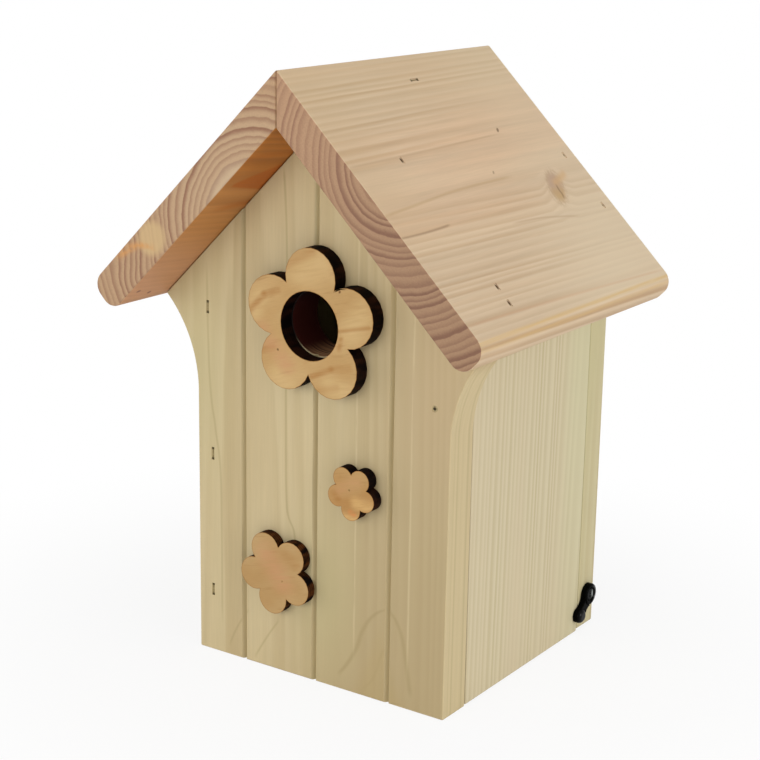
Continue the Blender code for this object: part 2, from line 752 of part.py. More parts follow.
def dish_cutter(name, place):
    """A round hollow in the boss, its deepest point on the pivot's axis."""
    sphere = (BUTTON_DISH_RADIUS**2 + BUTTON_DISH_DEPTH**2) / (BUTTON_DISH_DEPTH * 2)
    bottom = BUTTON_BOSS_THICKNESS - BUTTON_DISH_DEPTH
    edge = math.asin(BUTTON_DISH_RADIUS / sphere) - math.pi / 2
    hollow = arc(0, bottom + sphere, sphere, edge, -math.pi / 2, BUTTON_DISH_STEPS)
    top = BUTTON_BOSS_THICKNESS + OVERRUN
    profile = [(0, top), (BUTTON_DISH_RADIUS, top), *hollow[:-1], (0, bottom)]
    return add_cutter(name, turned_mesh(name, profile), place)


def make_turn_button(back_panel, plastic, steel):
    """The turn button that holds the side shut, and the screw that it turns on."""
    arm = FORWARD * math.cos(BUTTON_REST_ANGLE) - UP * math.sin(BUTTON_REST_ANGLE)
    seat = frame(Vector((HALF_WIDTH + GAP, BUTTON_Y, BUTTON_HEIGHT)), arm, RIGHT)
    plate = outline_mesh("turn_button", [link_outline()], BUTTON_PLATE_THICKNESS)
    plate.transform(Matrix.Translation((0, 0, BUTTON_PLATE_THICKNESS / 2)))
    button = add_part("turn_button", plate, plastic, seat)
    boss = round_boss("button_boss", BUTTON_PIVOT_RADIUS, BUTTON_BOSS_THICKNESS, BUTTON_BOSS_EASE, seat)
    combine(button, boss, "UNION")
    grip_place = seat @ Matrix.Translation((BUTTON_SPACING, 0, 0))
    grip = round_boss(
        "button_grip", BUTTON_GRIP_RADIUS, BUTTON_GRIP_THICKNESS, BUTTON_GRIP_EASE, grip_place
    )
    combine(button, grip, "UNION")
    cut(button, dish_cutter("button_dish", seat))

    head_top = seat @ Matrix.Translation((0, 0, BUTTON_BOSS_THICKNESS - SCREW_SINK))
    mesh = screw_solid("turn_button_screw", BUTTON_SCREW_LENGTH)
    screw = add_part("turn_button_screw", mesh, steel, head_top)
    shade_round(screw)
    cut(screw, cross_cutter("button_screw_cross", [head_top]))
    profile = screw_profile(BUTTON_SCREW_LENGTH, GAP, SCREW_SINK + OVERRUN)
    cutter = add_cutter("button_screw_cutter", turned_mesh("button_screw_cutter", profile), head_top)
    cut(button, cutter)
    cut(back_panel, cutter)


def plate_outline(grow):
    """A rectangle with round corners, this much larger all round than the hanging plate."""
    radius = HANGER_CORNER_RADIUS + grow
    x = HANGER_WIDTH / 2 + grow - radius
    y = HANGER_HEIGHT / 2 + grow - radius
    outline = []
    for index, (side, level) in enumerate(((1, 1), (-1, 1), (-1, -1), (1, -1))):
        start = math.pi / 2 * index
        outline += arc(x * side, y * level, radius, start, start + math.pi / 2, CORNER_STEPS)
    return outline


def keyhole_outline(grow):
    """The round hole that a wall screw's head enters, with the slot that it hangs in above."""
    head = KEYHOLE_HEAD_DIAMETER / 2 + grow
    slot = KEYHOLE_SLOT_WIDTH / 2 + grow
    meet = math.asin(min(1, slot / head))
    around = arc(0, 0, head, math.pi / 2 + meet, math.tau + math.pi / 2 - meet, HOLE_STEPS // 2)
    top = arc(0, KEYHOLE_RISE, slot, 0, math.pi, ROUND_STEPS // 2)
    return [*around, *top]


def make_hanger(back_panel, zinc, steel):
    """The hanging plate, let in flush at the back, over a pocket for the wall screw's head."""
    face_y = BACK_Y - HANGER_THICKNESS / 2
    place = frame(Vector((0, face_y, HANGER_MIDDLE_HEIGHT)), LEFT, BACKWARD)
    low = Matrix.Translation((0, -KEYHOLE_RISE / 2, 0))
    hole = [(x, y - KEYHOLE_RISE / 2) for x, y in keyhole_outline(0)]
    mesh = outline_mesh("hanging_plate", [plate_outline(0), hole], HANGER_THICKNESS)
    plate = add_part("hanging_plate", mesh, zinc, place)
    recess = outline_mesh("hanger_recess", [plate_outline(GAP)], (HANGER_THICKNESS + GAP) * 2)
    surface = frame(Vector((0, BACK_Y, HANGER_MIDDLE_HEIGHT)), LEFT, BACKWARD)
    cut(back_panel, add_cutter("hanger_recess", recess, surface))
    pocket_depth = (HANGER_THICKNESS + KEYHOLE_POCKET_DEPTH) * 2
    pocket = outline_mesh("hanger_pocket", [keyhole_outline(KEYHOLE_POCKET_MARGIN)], pocket_depth)
    cut(back_panel, add_cutter("hanger_pocket", pocket, surface @ low))

    half = HANGER_SCREW_SPACING / 2
    tops = [surface @ Matrix.Translation((x, 0, 0)) for x in (-half, half)]
    mesh = screw_solid("hanger_screw", HANGER_SCREW_LENGTH)
    crosses = cross_cutter("hanger_screw_crosses", tops)
    for piece_name, top in zip(numbered("hanger_screw", tops), tops):
        screw = add_part(piece_name, mesh, steel, top)
        shade_round(screw)
        cut(screw, crosses)
    profile = screw_profile(HANGER_SCREW_LENGTH, GAP, OVERRUN)
    holes = joined_mesh("hanger_screw_cutter", turned_mesh("hanger_screw_hole", profile), tops)
    cutter = add_cutter("hanger_screw_cutter", holes)
    cut(plate, cutter)
    cut(back_panel, cutter)


def build():
    pine = new_material("pale_pine", (0.60, 0.47, 0.27), 0.62)
    roof_pine = new_material("roof_pine", (0.66, 0.42, 0.25), 0.6)
    ply = new_material("birch_ply", (0.63, 0.40, 0.20), 0.55)
    steel = new_material("steel_wire", (0.09, 0.085, 0.08), 0.45, 0.9)
    black_steel = new_material("black_screw", (0.03, 0.03, 0.032), 0.35, 0.8)
    plastic = new_material("black_plastic", (0.008, 0.008, 0.009), 0.2)
    zinc = new_material("zinc_plate", (0.55, 0.56, 0.58), 0.35, 1.0)
    outline = roof_outline()
    boards = {
        "front_panel": make_front_panel(pine),
        "back_panel": make_back_panel(pine),
        "left_wall": make_left_wall(pine),
        "side_door": make_side_door(pine),
        "floor": make_floor(pine),
        "roof_right": make_roof_board("roof_right", outline, roof_pine),
        "roof_left": make_roof_board("roof_left", mirrored(outline), roof_pine),
    }
    make_flowers(boards["front_panel"], ply, steel)
    make_staples_and_roof_nails(boards, steel)
    make_pivot_nails(boards, steel)
    make_turn_button(boards["back_panel"], plastic, black_steel)
    make_hanger(boards["back_panel"], zinc, steel)
    CUTTERS.hide_render = True


clear_scene()
PARTS = new_collection("bird_nest_box")
CUTTERS = new_collection("cutters")
build()
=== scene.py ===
"""The bird nest box's looks: grain for each board, charred flowers, a glossy button, light and camera."""

import math
from functools import reduce

import bpy
from mathutils import Matrix, Vector


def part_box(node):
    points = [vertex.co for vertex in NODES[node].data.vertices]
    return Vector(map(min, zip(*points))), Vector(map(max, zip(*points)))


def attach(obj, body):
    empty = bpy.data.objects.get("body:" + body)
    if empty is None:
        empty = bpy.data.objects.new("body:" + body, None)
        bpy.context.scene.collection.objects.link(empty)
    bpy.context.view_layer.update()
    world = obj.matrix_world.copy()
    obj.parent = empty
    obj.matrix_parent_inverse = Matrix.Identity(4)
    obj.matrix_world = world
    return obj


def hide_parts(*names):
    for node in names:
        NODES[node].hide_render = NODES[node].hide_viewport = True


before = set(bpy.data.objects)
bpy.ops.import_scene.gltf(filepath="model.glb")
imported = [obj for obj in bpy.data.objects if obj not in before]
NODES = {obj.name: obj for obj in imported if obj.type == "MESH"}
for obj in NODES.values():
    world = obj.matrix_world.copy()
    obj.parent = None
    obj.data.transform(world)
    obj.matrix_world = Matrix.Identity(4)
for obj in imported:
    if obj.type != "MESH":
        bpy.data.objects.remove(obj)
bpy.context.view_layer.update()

X, Y, Z = Vector((1, 0, 0)), Vector((0, 1, 0)), Vector((0, 0, 1))

# Millimetres in a metre: meshes are in metres, and the places below and in the materials in millimetres
MM = 1000

# Places that the solids settle
RIDGE_HEIGHT = 291.5
ROOF_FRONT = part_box("roof_right")[0].y * MM
RIDGE = Z * RIDGE_HEIGHT + Y * ROOF_FRONT
FRONT_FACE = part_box("front_panel")[0].y * MM
FRONT_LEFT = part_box("left_wall")[0].x * MM
GROOVES = (27.8, 69.8, 111.8)
ENTRANCE = Vector((0.5, FRONT_FACE, 176))
ENTRANCE_RADIUS = 16
BOSS_TOP = Vector((74.9, 80, 18.7))
KNOB_TOP = Vector((75.9, 70.5, 9.8))

# Directions down the two slopes of the roof, and straight out of them
ROOF_PITCH = math.radians(44.5)
DOWN_RIGHT = Vector((math.cos(ROOF_PITCH), 0, -math.sin(ROOF_PITCH)))
OFF_RIGHT = Vector((math.sin(ROOF_PITCH), 0, math.cos(ROOF_PITCH)))
DOWN_LEFT = Vector((-DOWN_RIGHT.x, 0, DOWN_RIGHT.z))
OFF_LEFT = Vector((-OFF_RIGHT.x, 0, OFF_RIGHT.z))

# Sockets of the Mix node that are for colours: it has others for numbers and vectors
MIX_FIRST, MIX_SECOND, MIX_RESULT = 6, 7, 2


def tone(red, green, blue):
    """A colour given as 0 to 255 on screen, as the light it reflects, by the sRGB curve."""
    parts = [channel / 255 for channel in (red, green, blue)]
    parts = [p / 12.92 if p <= 0.04045 else ((p + 0.055) / 1.055) ** 2.4 for p in parts]
    return (*parts, 1.0)


def distance(first, second):
    """How far a point is from the middle of a figure, given the way to it along two square directions."""
    return (first ** 2 + second ** 2) ** 0.5


# How deep the head of a staple or a flat nail goes, in metres
HEAD_DEPTH = 0.0011

# The pine round the roof's fasteners, and the colour of each brad's end
ROOF_TONE = tone(206, 180, 147)
BRADS = {
    "entrance_flower_brad_1": tone(120, 84, 46), "entrance_flower_brad_2": tone(110, 76, 42),
    "upper_flower_brad": tone(136, 104, 56), "lower_flower_brad": tone(158, 118, 74),
}


class Wire:
    """What one socket gives. Python's operators on it add Math nodes."""

    def __init__(self, finish, socket):
        self.finish = finish
        self.socket = socket

    def maths(self, operation, *values, clamp=False):
        settings = {"operation": operation, "use_clamp": clamp}
        return self.finish.node("ShaderNodeMath", settings, dict(enumerate(values)))

    def __add__(self, other):
        return self.maths("ADD", self, other)

    __radd__ = __add__

    def __sub__(self, other):
        return self.maths("SUBTRACT", self, other)

    def __rsub__(self, other):
        return self.maths("SUBTRACT", other, self)

    def __mul__(self, other):
        return self.maths("MULTIPLY", self, other)

    __rmul__ = __mul__

    def __truediv__(self, other):
        return self.maths("DIVIDE", self, other)

    def __rtruediv__(self, other):
        return self.maths("DIVIDE", other, self)

    def __pow__(self, power):
        return self.maths("POWER", self, power)

    def __abs__(self):
        return self.maths("ABSOLUTE", self)

    def floor(self):
        return self.maths("FLOOR", self)

    def sine(self):
        return self.maths("SINE", self)

    def limited(self):
        """Kept between 0 and 1."""
        return self.maths("ADD", self, 0.0, clamp=True)

    def low(self, other):
        return self.maths("MINIMUM", self, other)

    def high(self, other):
        return self.maths("MAXIMUM", self, other)

    def ramp(self, start, end, low=0.0, high=1.0):
        """Low up to start, high from end on, and a smooth rise between them."""
        settings = {"interpolation_type": "SMOOTHSTEP"}
        values = {"Value": self, "From Min": start, "From Max": end, "To Min": low, "To Max": high}
        return self.finish.node("ShaderNodeMapRange", settings, values)

    def near(self, middle, width):
        """1 at the middle, falling off smoothly to 0 at this distance on both sides."""
        return 1 - abs(self - middle).ramp(0, width)


class Finish:
    """A material in the making."""

    def __init__(self, name):
        self.material = bpy.data.materials.new(name)
        self.material.use_nodes = True
        self.tree = self.material.node_tree
        self.shader = self.tree.nodes["Principled BSDF"]

    def node(self, kind, settings=None, values=None, output=0):
        """Adds a node, makes its settings, then fills its sockets with numbers or wires."""
        node = self.tree.nodes.new(kind)
        for key, value in (settings or {}).items():
            if key == "points":
                self.set_points(node.mapping, value)
            else:
                setattr(node, key, value)
        for key, value in (values or {}).items():
            self.feed(node.inputs[key], value)
        return Wire(self, node.outputs[output])

    @staticmethod
    def set_points(mapping, points):
        curve = mapping.curves[0]
        while len(curve.points) < len(points):
            curve.points.new(1, 1)
        for point, place in zip(curve.points, points):
            point.location = place
        mapping.update()

    def feed(self, socket, value):
        if isinstance(value, Wire):
            self.tree.links.new(value.socket, socket)
        else:
            socket.default_value = value

    def place(self):
        """The point of the surface, in millimetres."""
        point = self.node("ShaderNodeTexCoord", output="Object")
        return self.lit(point, MM)

    def facing(self):
        """The direction that the surface faces."""
        return self.node("ShaderNodeTexCoord", output="Normal")

    def vector_maths(self, operation, first, second, output="Vector"):
        return self.node("ShaderNodeVectorMath", {"operation": operation}, {0: first, 1: second}, output)

    def shift(self, vector, origin):
        """The way to the vector's point from another origin."""
        return self.vector_maths("SUBTRACT", vector, origin)

    def dot(self, vector, direction):
        return self.vector_maths("DOT_PRODUCT", vector, direction, "Value")

    def far_from(self, vector, place):
        return self.vector_maths("DISTANCE", vector, place, "Value")

    def vector(self, x, y, z):
        return self.node("ShaderNodeCombineXYZ", {}, {0: x, 1: y, 2: z})

    def noise(self, vector, scale, detail=2.0, roughness=0.5):
        values = {"Vector": vector, "Scale": scale, "Detail": detail, "Roughness": roughness}
        return self.node("ShaderNodeTexNoise", {}, values, "Fac")

    def noise_along(self, value, scale):
        """Noise over one number instead of a place."""
        values = {"W": value, "Scale": scale, "Detail": 0.0}
        return self.node("ShaderNodeTexNoise", {"noise_dimensions": "1D"}, values, "Fac")

    def mix(self, share, first, second):
        """The first colour at share 0 and the second at share 1."""
        values = {0: share, MIX_FIRST: first, MIX_SECOND: second}
        return self.node("ShaderNodeMix", {"data_type": "RGBA"}, values, MIX_RESULT)

    def lit(self, colour, share):
        """The colour, brighter or darker by a share that may vary. It scales a place as well."""
        return self.node("ShaderNodeVectorMath", {"operation": "SCALE"}, {0: colour, "Scale": share})

    def worn_edges(self, width):
        """1 on an edge of the piece and 0 away from it. width is in metres."""
        rounded = self.node("ShaderNodeBevel", {"samples": 4}, {"Radius": width})
        true = self.node("ShaderNodeNewGeometry", output="Normal")
        return (1 - self.dot(rounded, true)).ramp(0.01, 0.25)

    def surface(self, colour, roughness, height, depth, **constants):
        """Feeds the shader. depth is the bump's, in metres, and constants are other sockets of the shader."""
        self.feed(self.shader.inputs["Base Color"], colour)
        self.feed(self.shader.inputs["Roughness"], roughness)
        values = {"Strength": 1.0, "Distance": depth, "Height": height}
        self.feed(self.shader.inputs["Normal"], self.node("ShaderNodeBump", {}, values))
        for name, value in constants.items():
            self.feed(self.shader.inputs[name.replace("_", " ")], value)
        return self.material


class Timber(Finish):
    """Softwood: rings about the heart of the trunk, which runs along the grain.

    Its places are in millimetres. heart is a point on the trunk's middle line, across a direction square to
    the grain, ring the width of a year's growth, taper how fast the rings close in along the trunk and
    wander how far they stray from round.
    """

    def __init__(self, name, grain, across, heart, ring, wander, seed, taper=0.0):
        super().__init__(name)
        self.here = self.place()
        from_heart = self.shift(self.here, heart)
        self.along = self.dot(from_heart, grain)
        self.side = self.dot(from_heart, across)
        self.deep = self.dot(from_heart, grain.cross(across))
        self.seed = seed
        self.ring = ring
        drawn = self.drawn(0.06)
        slow = (self.noise(drawn, 0.035) - 0.5) * (wander * 2)
        quick = (self.noise(drawn, 0.20) - 0.5) * (ring * 0.35)
        self.radius = distance(self.side, self.deep) + self.along * taper + slow + quick
        self.end = abs(self.dot(self.facing(), grain)).ramp(0.45, 0.72)

    def drawn(self, stretch):
        """A place to read noise at, which is drawn out along the grain."""
        return self.vector(self.side + self.seed * 31, self.deep + self.seed * 17, self.along * stretch)

    def bend(self, share):
        """Pushes the rings outwards by this much, as round a knot."""
        self.radius = self.radius + share

    def grow(self, contrast):
        """Draws the rings, after every bend."""
        # Years of uneven width, each with its own strength
        turns = self.radius / self.ring + self.noise_along(self.radius, 0.11) * 1.2
        number = turns.floor()
        within = turns - number
        strength = self.noise_along(number + self.seed, 1.7).ramp(0.25, 0.75, 1 - contrast, 1.0)
        # Late wood darkens towards the end of each year, and stops sharply
        self.late = within.ramp(0.15, 0.85) * (1 - within.ramp(0.86, 1.0)) * strength
        # Along the grain a year's growth shows as a softer band
        self.band = within.ramp(0.05, 0.7) * (1 - within.ramp(0.76, 1.0)) * strength
        self.fibre = self.noise(self.drawn(0.03), 1.3, 3.0, 0.6)
        self.fine = self.noise(self.drawn(0.05), 4.5, 1.0)
        self.cloud = self.noise(self.drawn(0.12), 0.022, 2.0)

    def paint(self, early, late, end_early, end_late, warm, fibre=0.12, end_fibre=0.2):
        """Early and late wood along the grain, with warm clouds, and on the end grain its own two tones.

        fibre and end_fibre are how much the fibres lighten and darken the two.
        """
        long_grain = self.mix(self.band, early, late)
        long_grain = self.mix(self.cloud.ramp(0.42, 0.75), long_grain, warm)
        long_grain = self.lit(long_grain, 1 + (self.fibre - 0.5) * fibre * 2)
        end_grain = self.mix(self.late, end_early, end_late)
        end_grain = self.lit(end_grain, 1 + (self.fibre - 0.5) * end_fibre * 2)
        return self.mix(self.end, long_grain, end_grain)

    def stroke(self, run, across, points, width, fade):
        """A mask for one line of the grain, through points as (run, across), fading out at its ends."""
        start, end = points[0][0], points[-1][0]
        low = min(place for _, place in points) - 1
        high = max(place for _, place in points) + 1
        share = ((run - start) / (end - start)).limited()
        curve = [((along - start) / (end - start), (place - low) / (high - low)) for along, place in points]
        line = self.node("ShaderNodeFloatCurve", {"points": curve}, {"Value": share})
        off = across - (line * (high - low) + low)
        window = run.ramp(start - fade, start + fade) * (1 - run.ramp(end - fade, end + fade))
        return off.near(0, width) * window

    def with_lines(self, colour, run, across, lines, where):
        """The colour with lines of the grain: the points of each, its width, fade, strength and colour."""
        for points, width, fade, strength, shade in lines:
            line = self.stroke(run, across, points, width, fade)
            colour = self.mix(line * strength * where, colour, shade)
        return colour

    def finish(self, colour):
        """The colour with paler worn edges, and the roughness and relief of planed wood."""
        worn = self.worn_edges(width=0.0012)
        colour = self.lit(colour, 1 + worn * (self.fine * 0.3 - 0.06))
        rough = 0.62 + (self.fibre - 0.5) * 0.16 - self.late * 0.05 - worn * 0.05
        height = self.fibre * 0.5 + self.fine * 0.22 - self.band * 0.12
        return self.surface(colour, rough, height, depth=0.0001, Specular_IOR_Level=0.25)


def select_only(piece):
    bpy.ops.object.select_all(action="DESELECT")
    piece.select_set(True)
    bpy.context.view_layer.objects.active = piece


def merged_copy(node, name):
    """A copy of a solid with its loose triangles joined and its flat sides made whole."""
    piece = bpy.data.objects.new(name, NODES[node].data.copy())
    bpy.context.scene.collection.objects.link(piece)
    select_only(piece)
    bpy.ops.object.mode_set(mode="EDIT")
    bpy.ops.mesh.select_mode(type="VERT")
    bpy.ops.mesh.select_all(action="SELECT")
    bpy.ops.mesh.remove_doubles(threshold=0.000002)
    bpy.ops.mesh.dissolve_limited(angle_limit=math.radians(0.5))
    bpy.ops.mesh.select_all(action="SELECT")
    bpy.ops.mesh.normals_make_consistent(inside=False)
    bpy.ops.object.mode_set(mode="OBJECT")
    return piece


def edit_vertices(piece, wanted):
    """Goes into edit mode with only those vertices selected whose place is a wanted one."""
    bpy.ops.object.mode_set(mode="EDIT")
    bpy.ops.mesh.select_mode(type="VERT")
    bpy.ops.mesh.select_all(action="DESELECT")
    bpy.ops.object.mode_set(mode="OBJECT")
    for vertex in piece.data.vertices:
        vertex.select = wanted(vertex.co)
    bpy.ops.object.mode_set(mode="EDIT")


def smooth(piece):
    """Rounds the shading over curved sides and keeps the flat sides flat."""
    select_only(piece)
    bpy.ops.object.shade_smooth_by_angle(angle=math.radians(30))
    weights = piece.modifiers.new("flat sides stay flat", "WEIGHTED_NORMAL")
    weights.keep_sharp = True
    bpy.ops.object.modifier_apply(modifier=weights.name)


def dress(piece, material, node, body="box"):
    """Gives a piece its material, hides the node that it stands for, and attaches it to the body that it
    moves with.
    """
    piece.data.materials.clear()
    piece.data.materials.append(material)
    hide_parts(node)
    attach(piece, body)


def dressed_board(node, name, material):
    piece = merged_copy(node, name)
    smooth(piece)
    dress(piece, material, node)


def shown_end(node, outward):
    """The middle of the end of a fastener that shows, in millimetres."""
    places = [vertex.co for vertex in NODES[node].data.vertices]
    tolerance = 0.0001
    furthest = max(place.dot(outward) for place in places)
    end = [place for place in places if place.dot(outward) > furthest - tolerance]
    low = Vector(min(place[axis] for place in end) for axis in range(3))
    high = Vector(max(place[axis] for place in end) for axis in range(3))
    return (low + high) / 2 * MM


# Boards


def right_roof_pine():
    heart_down = 68
    heart = RIDGE + DOWN_RIGHT * heart_down + OFF_RIGHT * 17
    wood = Timber("right roof pine", Y, DOWN_RIGHT, heart, ring=3.4, taper=-0.018, wander=1.4, seed=1)
    down = wood.side + heart_down
    back = wood.along
    # The knot is an oval that leans, and the rings pass round it
    knot_down, knot_back = down - 86, back - 137
    from_knot = distance(knot_down / 9.5, (knot_back + knot_down * 0.45) / 7.0)
    on_top = wood.dot(wood.facing(), OFF_RIGHT).ramp(0.8, 0.95)
    wood.bend((1 - from_knot.ramp(0.3, 2.4)) * 3.2 * on_top)
    wood.grow(contrast=0.7)
    wood.late = wood.late * down.ramp(10, 110, 0.8, 1.15)
    # The middle of the board, cut along the rings, is nearly plain
    plain = down.near(66, 16) * 0.7 + from_knot.near(0, 2.6) * 0.4 + down.ramp(70, 110) * 0.35
    wood.band = wood.band * (1 - plain * on_top).limited()
    colour = wood.paint(
        early=tone(209, 185, 154), late=tone(184, 152, 116), warm=tone(209, 178, 145),
        end_early=tone(168, 133, 103), end_late=tone(133, 96, 75),
    )
    # The end is paler by the ridge and darker by the eave, and broad bands run along the top
    colour = wood.lit(colour, wood.end * down.ramp(0, 110, 0.14, -0.09) + 1)
    broad = wood.noise(wood.drawn(0.02), 0.16, detail=1.0, roughness=0.9)
    colour = wood.lit(colour, 1 + (broad - 0.5) * 0.3 * on_top)
    pale = (down.ramp(60, 150) * 0.5 + back.ramp(30, 170) * 0.7).ramp(0.3, 1.1) * on_top
    colour = wood.mix(pale * 0.65, colour, tone(216, 198, 168))
    ridge_side = (1 - down.ramp(0, 60)) * on_top
    colour = wood.mix(ridge_side * 0.35, colour, tone(205, 184, 146))
    front_side = (1 - back.ramp(5, 50)) * (1 - down.ramp(70, 120)) * on_top
    colour = wood.mix(front_side * 0.35, colour, tone(200, 171, 133))
    colour = with_knot(wood, colour, knot_down, knot_back, from_knot, on_top)
    lines = (
        ([(0, 91.5), (15, 91.7), (30, 91.4), (37, 91.0)], 1.0, 2.0, 0.6, tone(140, 110, 80)),
        ([(0, 79.8), (30, 77.6), (60, 75.6), (105, 75.0)], 1.3, 6.0, 0.4, tone(176, 142, 98)),
        ([(0, 53.8), (40, 53.2), (90, 52.2), (120, 51.5)], 1.0, 10.0, 0.4, tone(172, 138, 104)),
        ([(85, 98.4), (105, 99.2), (120, 101), (135, 103.2)], 0.9, 5.0, 0.4, tone(176, 142, 112)),
        ([(0, 137.5), (60, 139), (170, 143)], 1.2, 12.0, 0.35, tone(196, 152, 118)),
    )
    colour = wood.with_lines(colour, back, down, lines, on_top)
    # Two dark specks
    for speck_down, speck_back, size, strength in ((49.3, 125.2, 1.2, 0.8), (70.9, 96.7, 0.9, 0.5)):
        lean = (back - speck_back) + (down - speck_down) * 0.6
        spot = distance((down - speck_down) / (size * 1.2), lean / size)
        colour = wood.mix((1 - spot.ramp(0.5, 1.1)) * on_top * strength, colour, tone(112, 86, 60))
    # Two bands of colour along the rounded edge at the eave
    eave = (down.near(146.5, 1.6) + down.near(149.2, 1.2) * 0.7) * (1 - wood.end)
    colour = wood.mix(eave * 0.7 * wood.fibre.ramp(0.3, 0.6, 0.4, 1.0), colour, tone(204, 170, 112))
    return wood.finish(colour)


def with_knot(wood, colour, knot_down, knot_back, from_knot, where):
    """The knot: grey-brown at its upper side, orange at its lower one, with a split down its middle."""
    swirl = wood.noise(wood.vector(knot_down, knot_back * 1.6, 3.0), 0.35, 3.0)
    inside = wood.mix((knot_down / 5 + swirl - 0.5).ramp(-0.6, 0.9), tone(176, 146, 122), tone(182, 148, 100))
    colour = wood.mix((1 - from_knot.ramp(0.55, 1.1)) * where * 0.8, colour, inside)
    rim = from_knot.near(0.95, 0.4) * where * swirl.ramp(0.35, 0.6)
    colour = wood.mix(rim * 0.35, colour, tone(160, 124, 92))
    tail = wood.stroke(knot_back, knot_down, [(0, -2), (6, -3.5), (13, -5.5), (16, -6.5)], 3.6, 2.5)
    colour = wood.mix(tail * where * 0.6, colour, tone(202, 162, 112))
    split = wood.stroke(knot_down, knot_back, [(-1, 1.2), (2, 0.4), (4, 0.4), (6.5, -0.6)], 1.2, 1.5)
    return wood.mix(split * where * 0.65, colour, tone(124, 96, 62))


def left_roof_pine():
    heart = RIDGE + DOWN_LEFT * 54 - OFF_LEFT * 42
    slant = 0.16
    grain = (Y + DOWN_LEFT * slant).normalized()
    across = (DOWN_LEFT - Y * slant).normalized()
    wood = Timber("left roof pine", grain, across, heart, ring=3.5, wander=1.4, seed=4)
    from_ridge = wood.shift(wood.here, RIDGE)
    down = wood.dot(from_ridge, DOWN_LEFT)
    back = wood.dot(from_ridge, Y)
    below = wood.dot(from_ridge, -OFF_LEFT)
    from_knot = distance((down - 118) / 14, (below - 3) / 9)
    wood.bend((1 - from_knot.ramp(0.2, 1.8)) * 5)
    wood.grow(contrast=0.6)
    colour = wood.paint(
        early=tone(208, 178, 142), late=tone(182, 144, 108), warm=tone(204, 168, 130),
        end_early=tone(187, 153, 118), end_late=tone(146, 105, 80), end_fibre=0.16,
    )
    # The end is pale near the heart, and a little further out in its early wood
    core = 1 - wood.radius.ramp(25, 34)
    pale_early = (1 - wood.radius.ramp(36, 62)) * (1 - wood.late) * 0.35
    colour = wood.mix(core.high(pale_early) * wood.end * 0.6, colour, tone(208, 184, 152))
    colour = wood.lit(colour, 1 - wood.end * 0.08)
    under = wood.dot(wood.facing(), -OFF_LEFT).ramp(0.8, 0.95)
    colour = wood.mix(under, colour, left_roof_stain(wood, down, back))
    tip = down.ramp(141, 149) * (1 - wood.end)
    colour = wood.mix(tip * 0.5, colour, tone(170, 128, 92))
    # Beside the knot the end is pale, with a streak of resin
    pale = (1 - (((down - 107) / 10) ** 2 + ((below - 8) / 9) ** 2).ramp(0.3, 1.1)) * wood.end
    colour = wood.mix(pale * 0.8, colour, tone(200, 170, 124))
    swirl = wood.noise(wood.vector(down, below, wood.along), 0.4, 3.0)
    resin = wood.stroke(down, below, [(110, 11), (114, 6.5), (121, 3), (129, 1.5)], 3.4, 4)
    resin = resin * swirl.ramp(0.3, 0.6, 0.4, 1.0) * wood.end
    colour = wood.mix(resin * 0.75, colour, tone(206, 146, 82))
    # Two pin knots under the eave
    for knot_down, knot_back in ((137, 7), (140.5, 17)):
        spot = distance((down - knot_down) / 1.3, (back - knot_back) / 1.8)
        colour = wood.mix((1 - spot.ramp(0.4, 1.0)) * under * 0.7, colour, tone(120, 70, 52))
    return wood.finish(colour)


def left_roof_stain(wood, down, back):
    """The stain on the underside: orange, and less so towards the eave."""
    edge = down - back * 0.33
    stained = wood.mix(edge.ramp(40, 62), tone(190, 122, 55), tone(200, 140, 80))
    stained = wood.mix(edge.ramp(80, 120), stained, tone(206, 154, 114))
    stained = wood.mix(wood.band * edge.ramp(50, 95, 0.6, 0.12), stained, tone(150, 92, 42))
    # A darker patch that narrows towards the front, and a stripe on each side of it
    low_side, high_side = down + back * 0.37 - 59, down - back * 0.25 - 57.5
    patch = low_side.ramp(-1.5, 2) * (1 - high_side.ramp(-1.2, 0.8)) * back.ramp(4, 9)
    stained = wood.mix(patch * 0.75, stained, tone(184, 98, 32))
    stripes = down.near(75.5, 4.5) * back.ramp(4, 22) + down.near(38, 4) * 0.6
    stained = wood.mix(stripes * 0.6, stained, tone(182, 104, 40))
    return wood.lit(stained, 1 + (wood.fibre - 0.5) * 0.25)


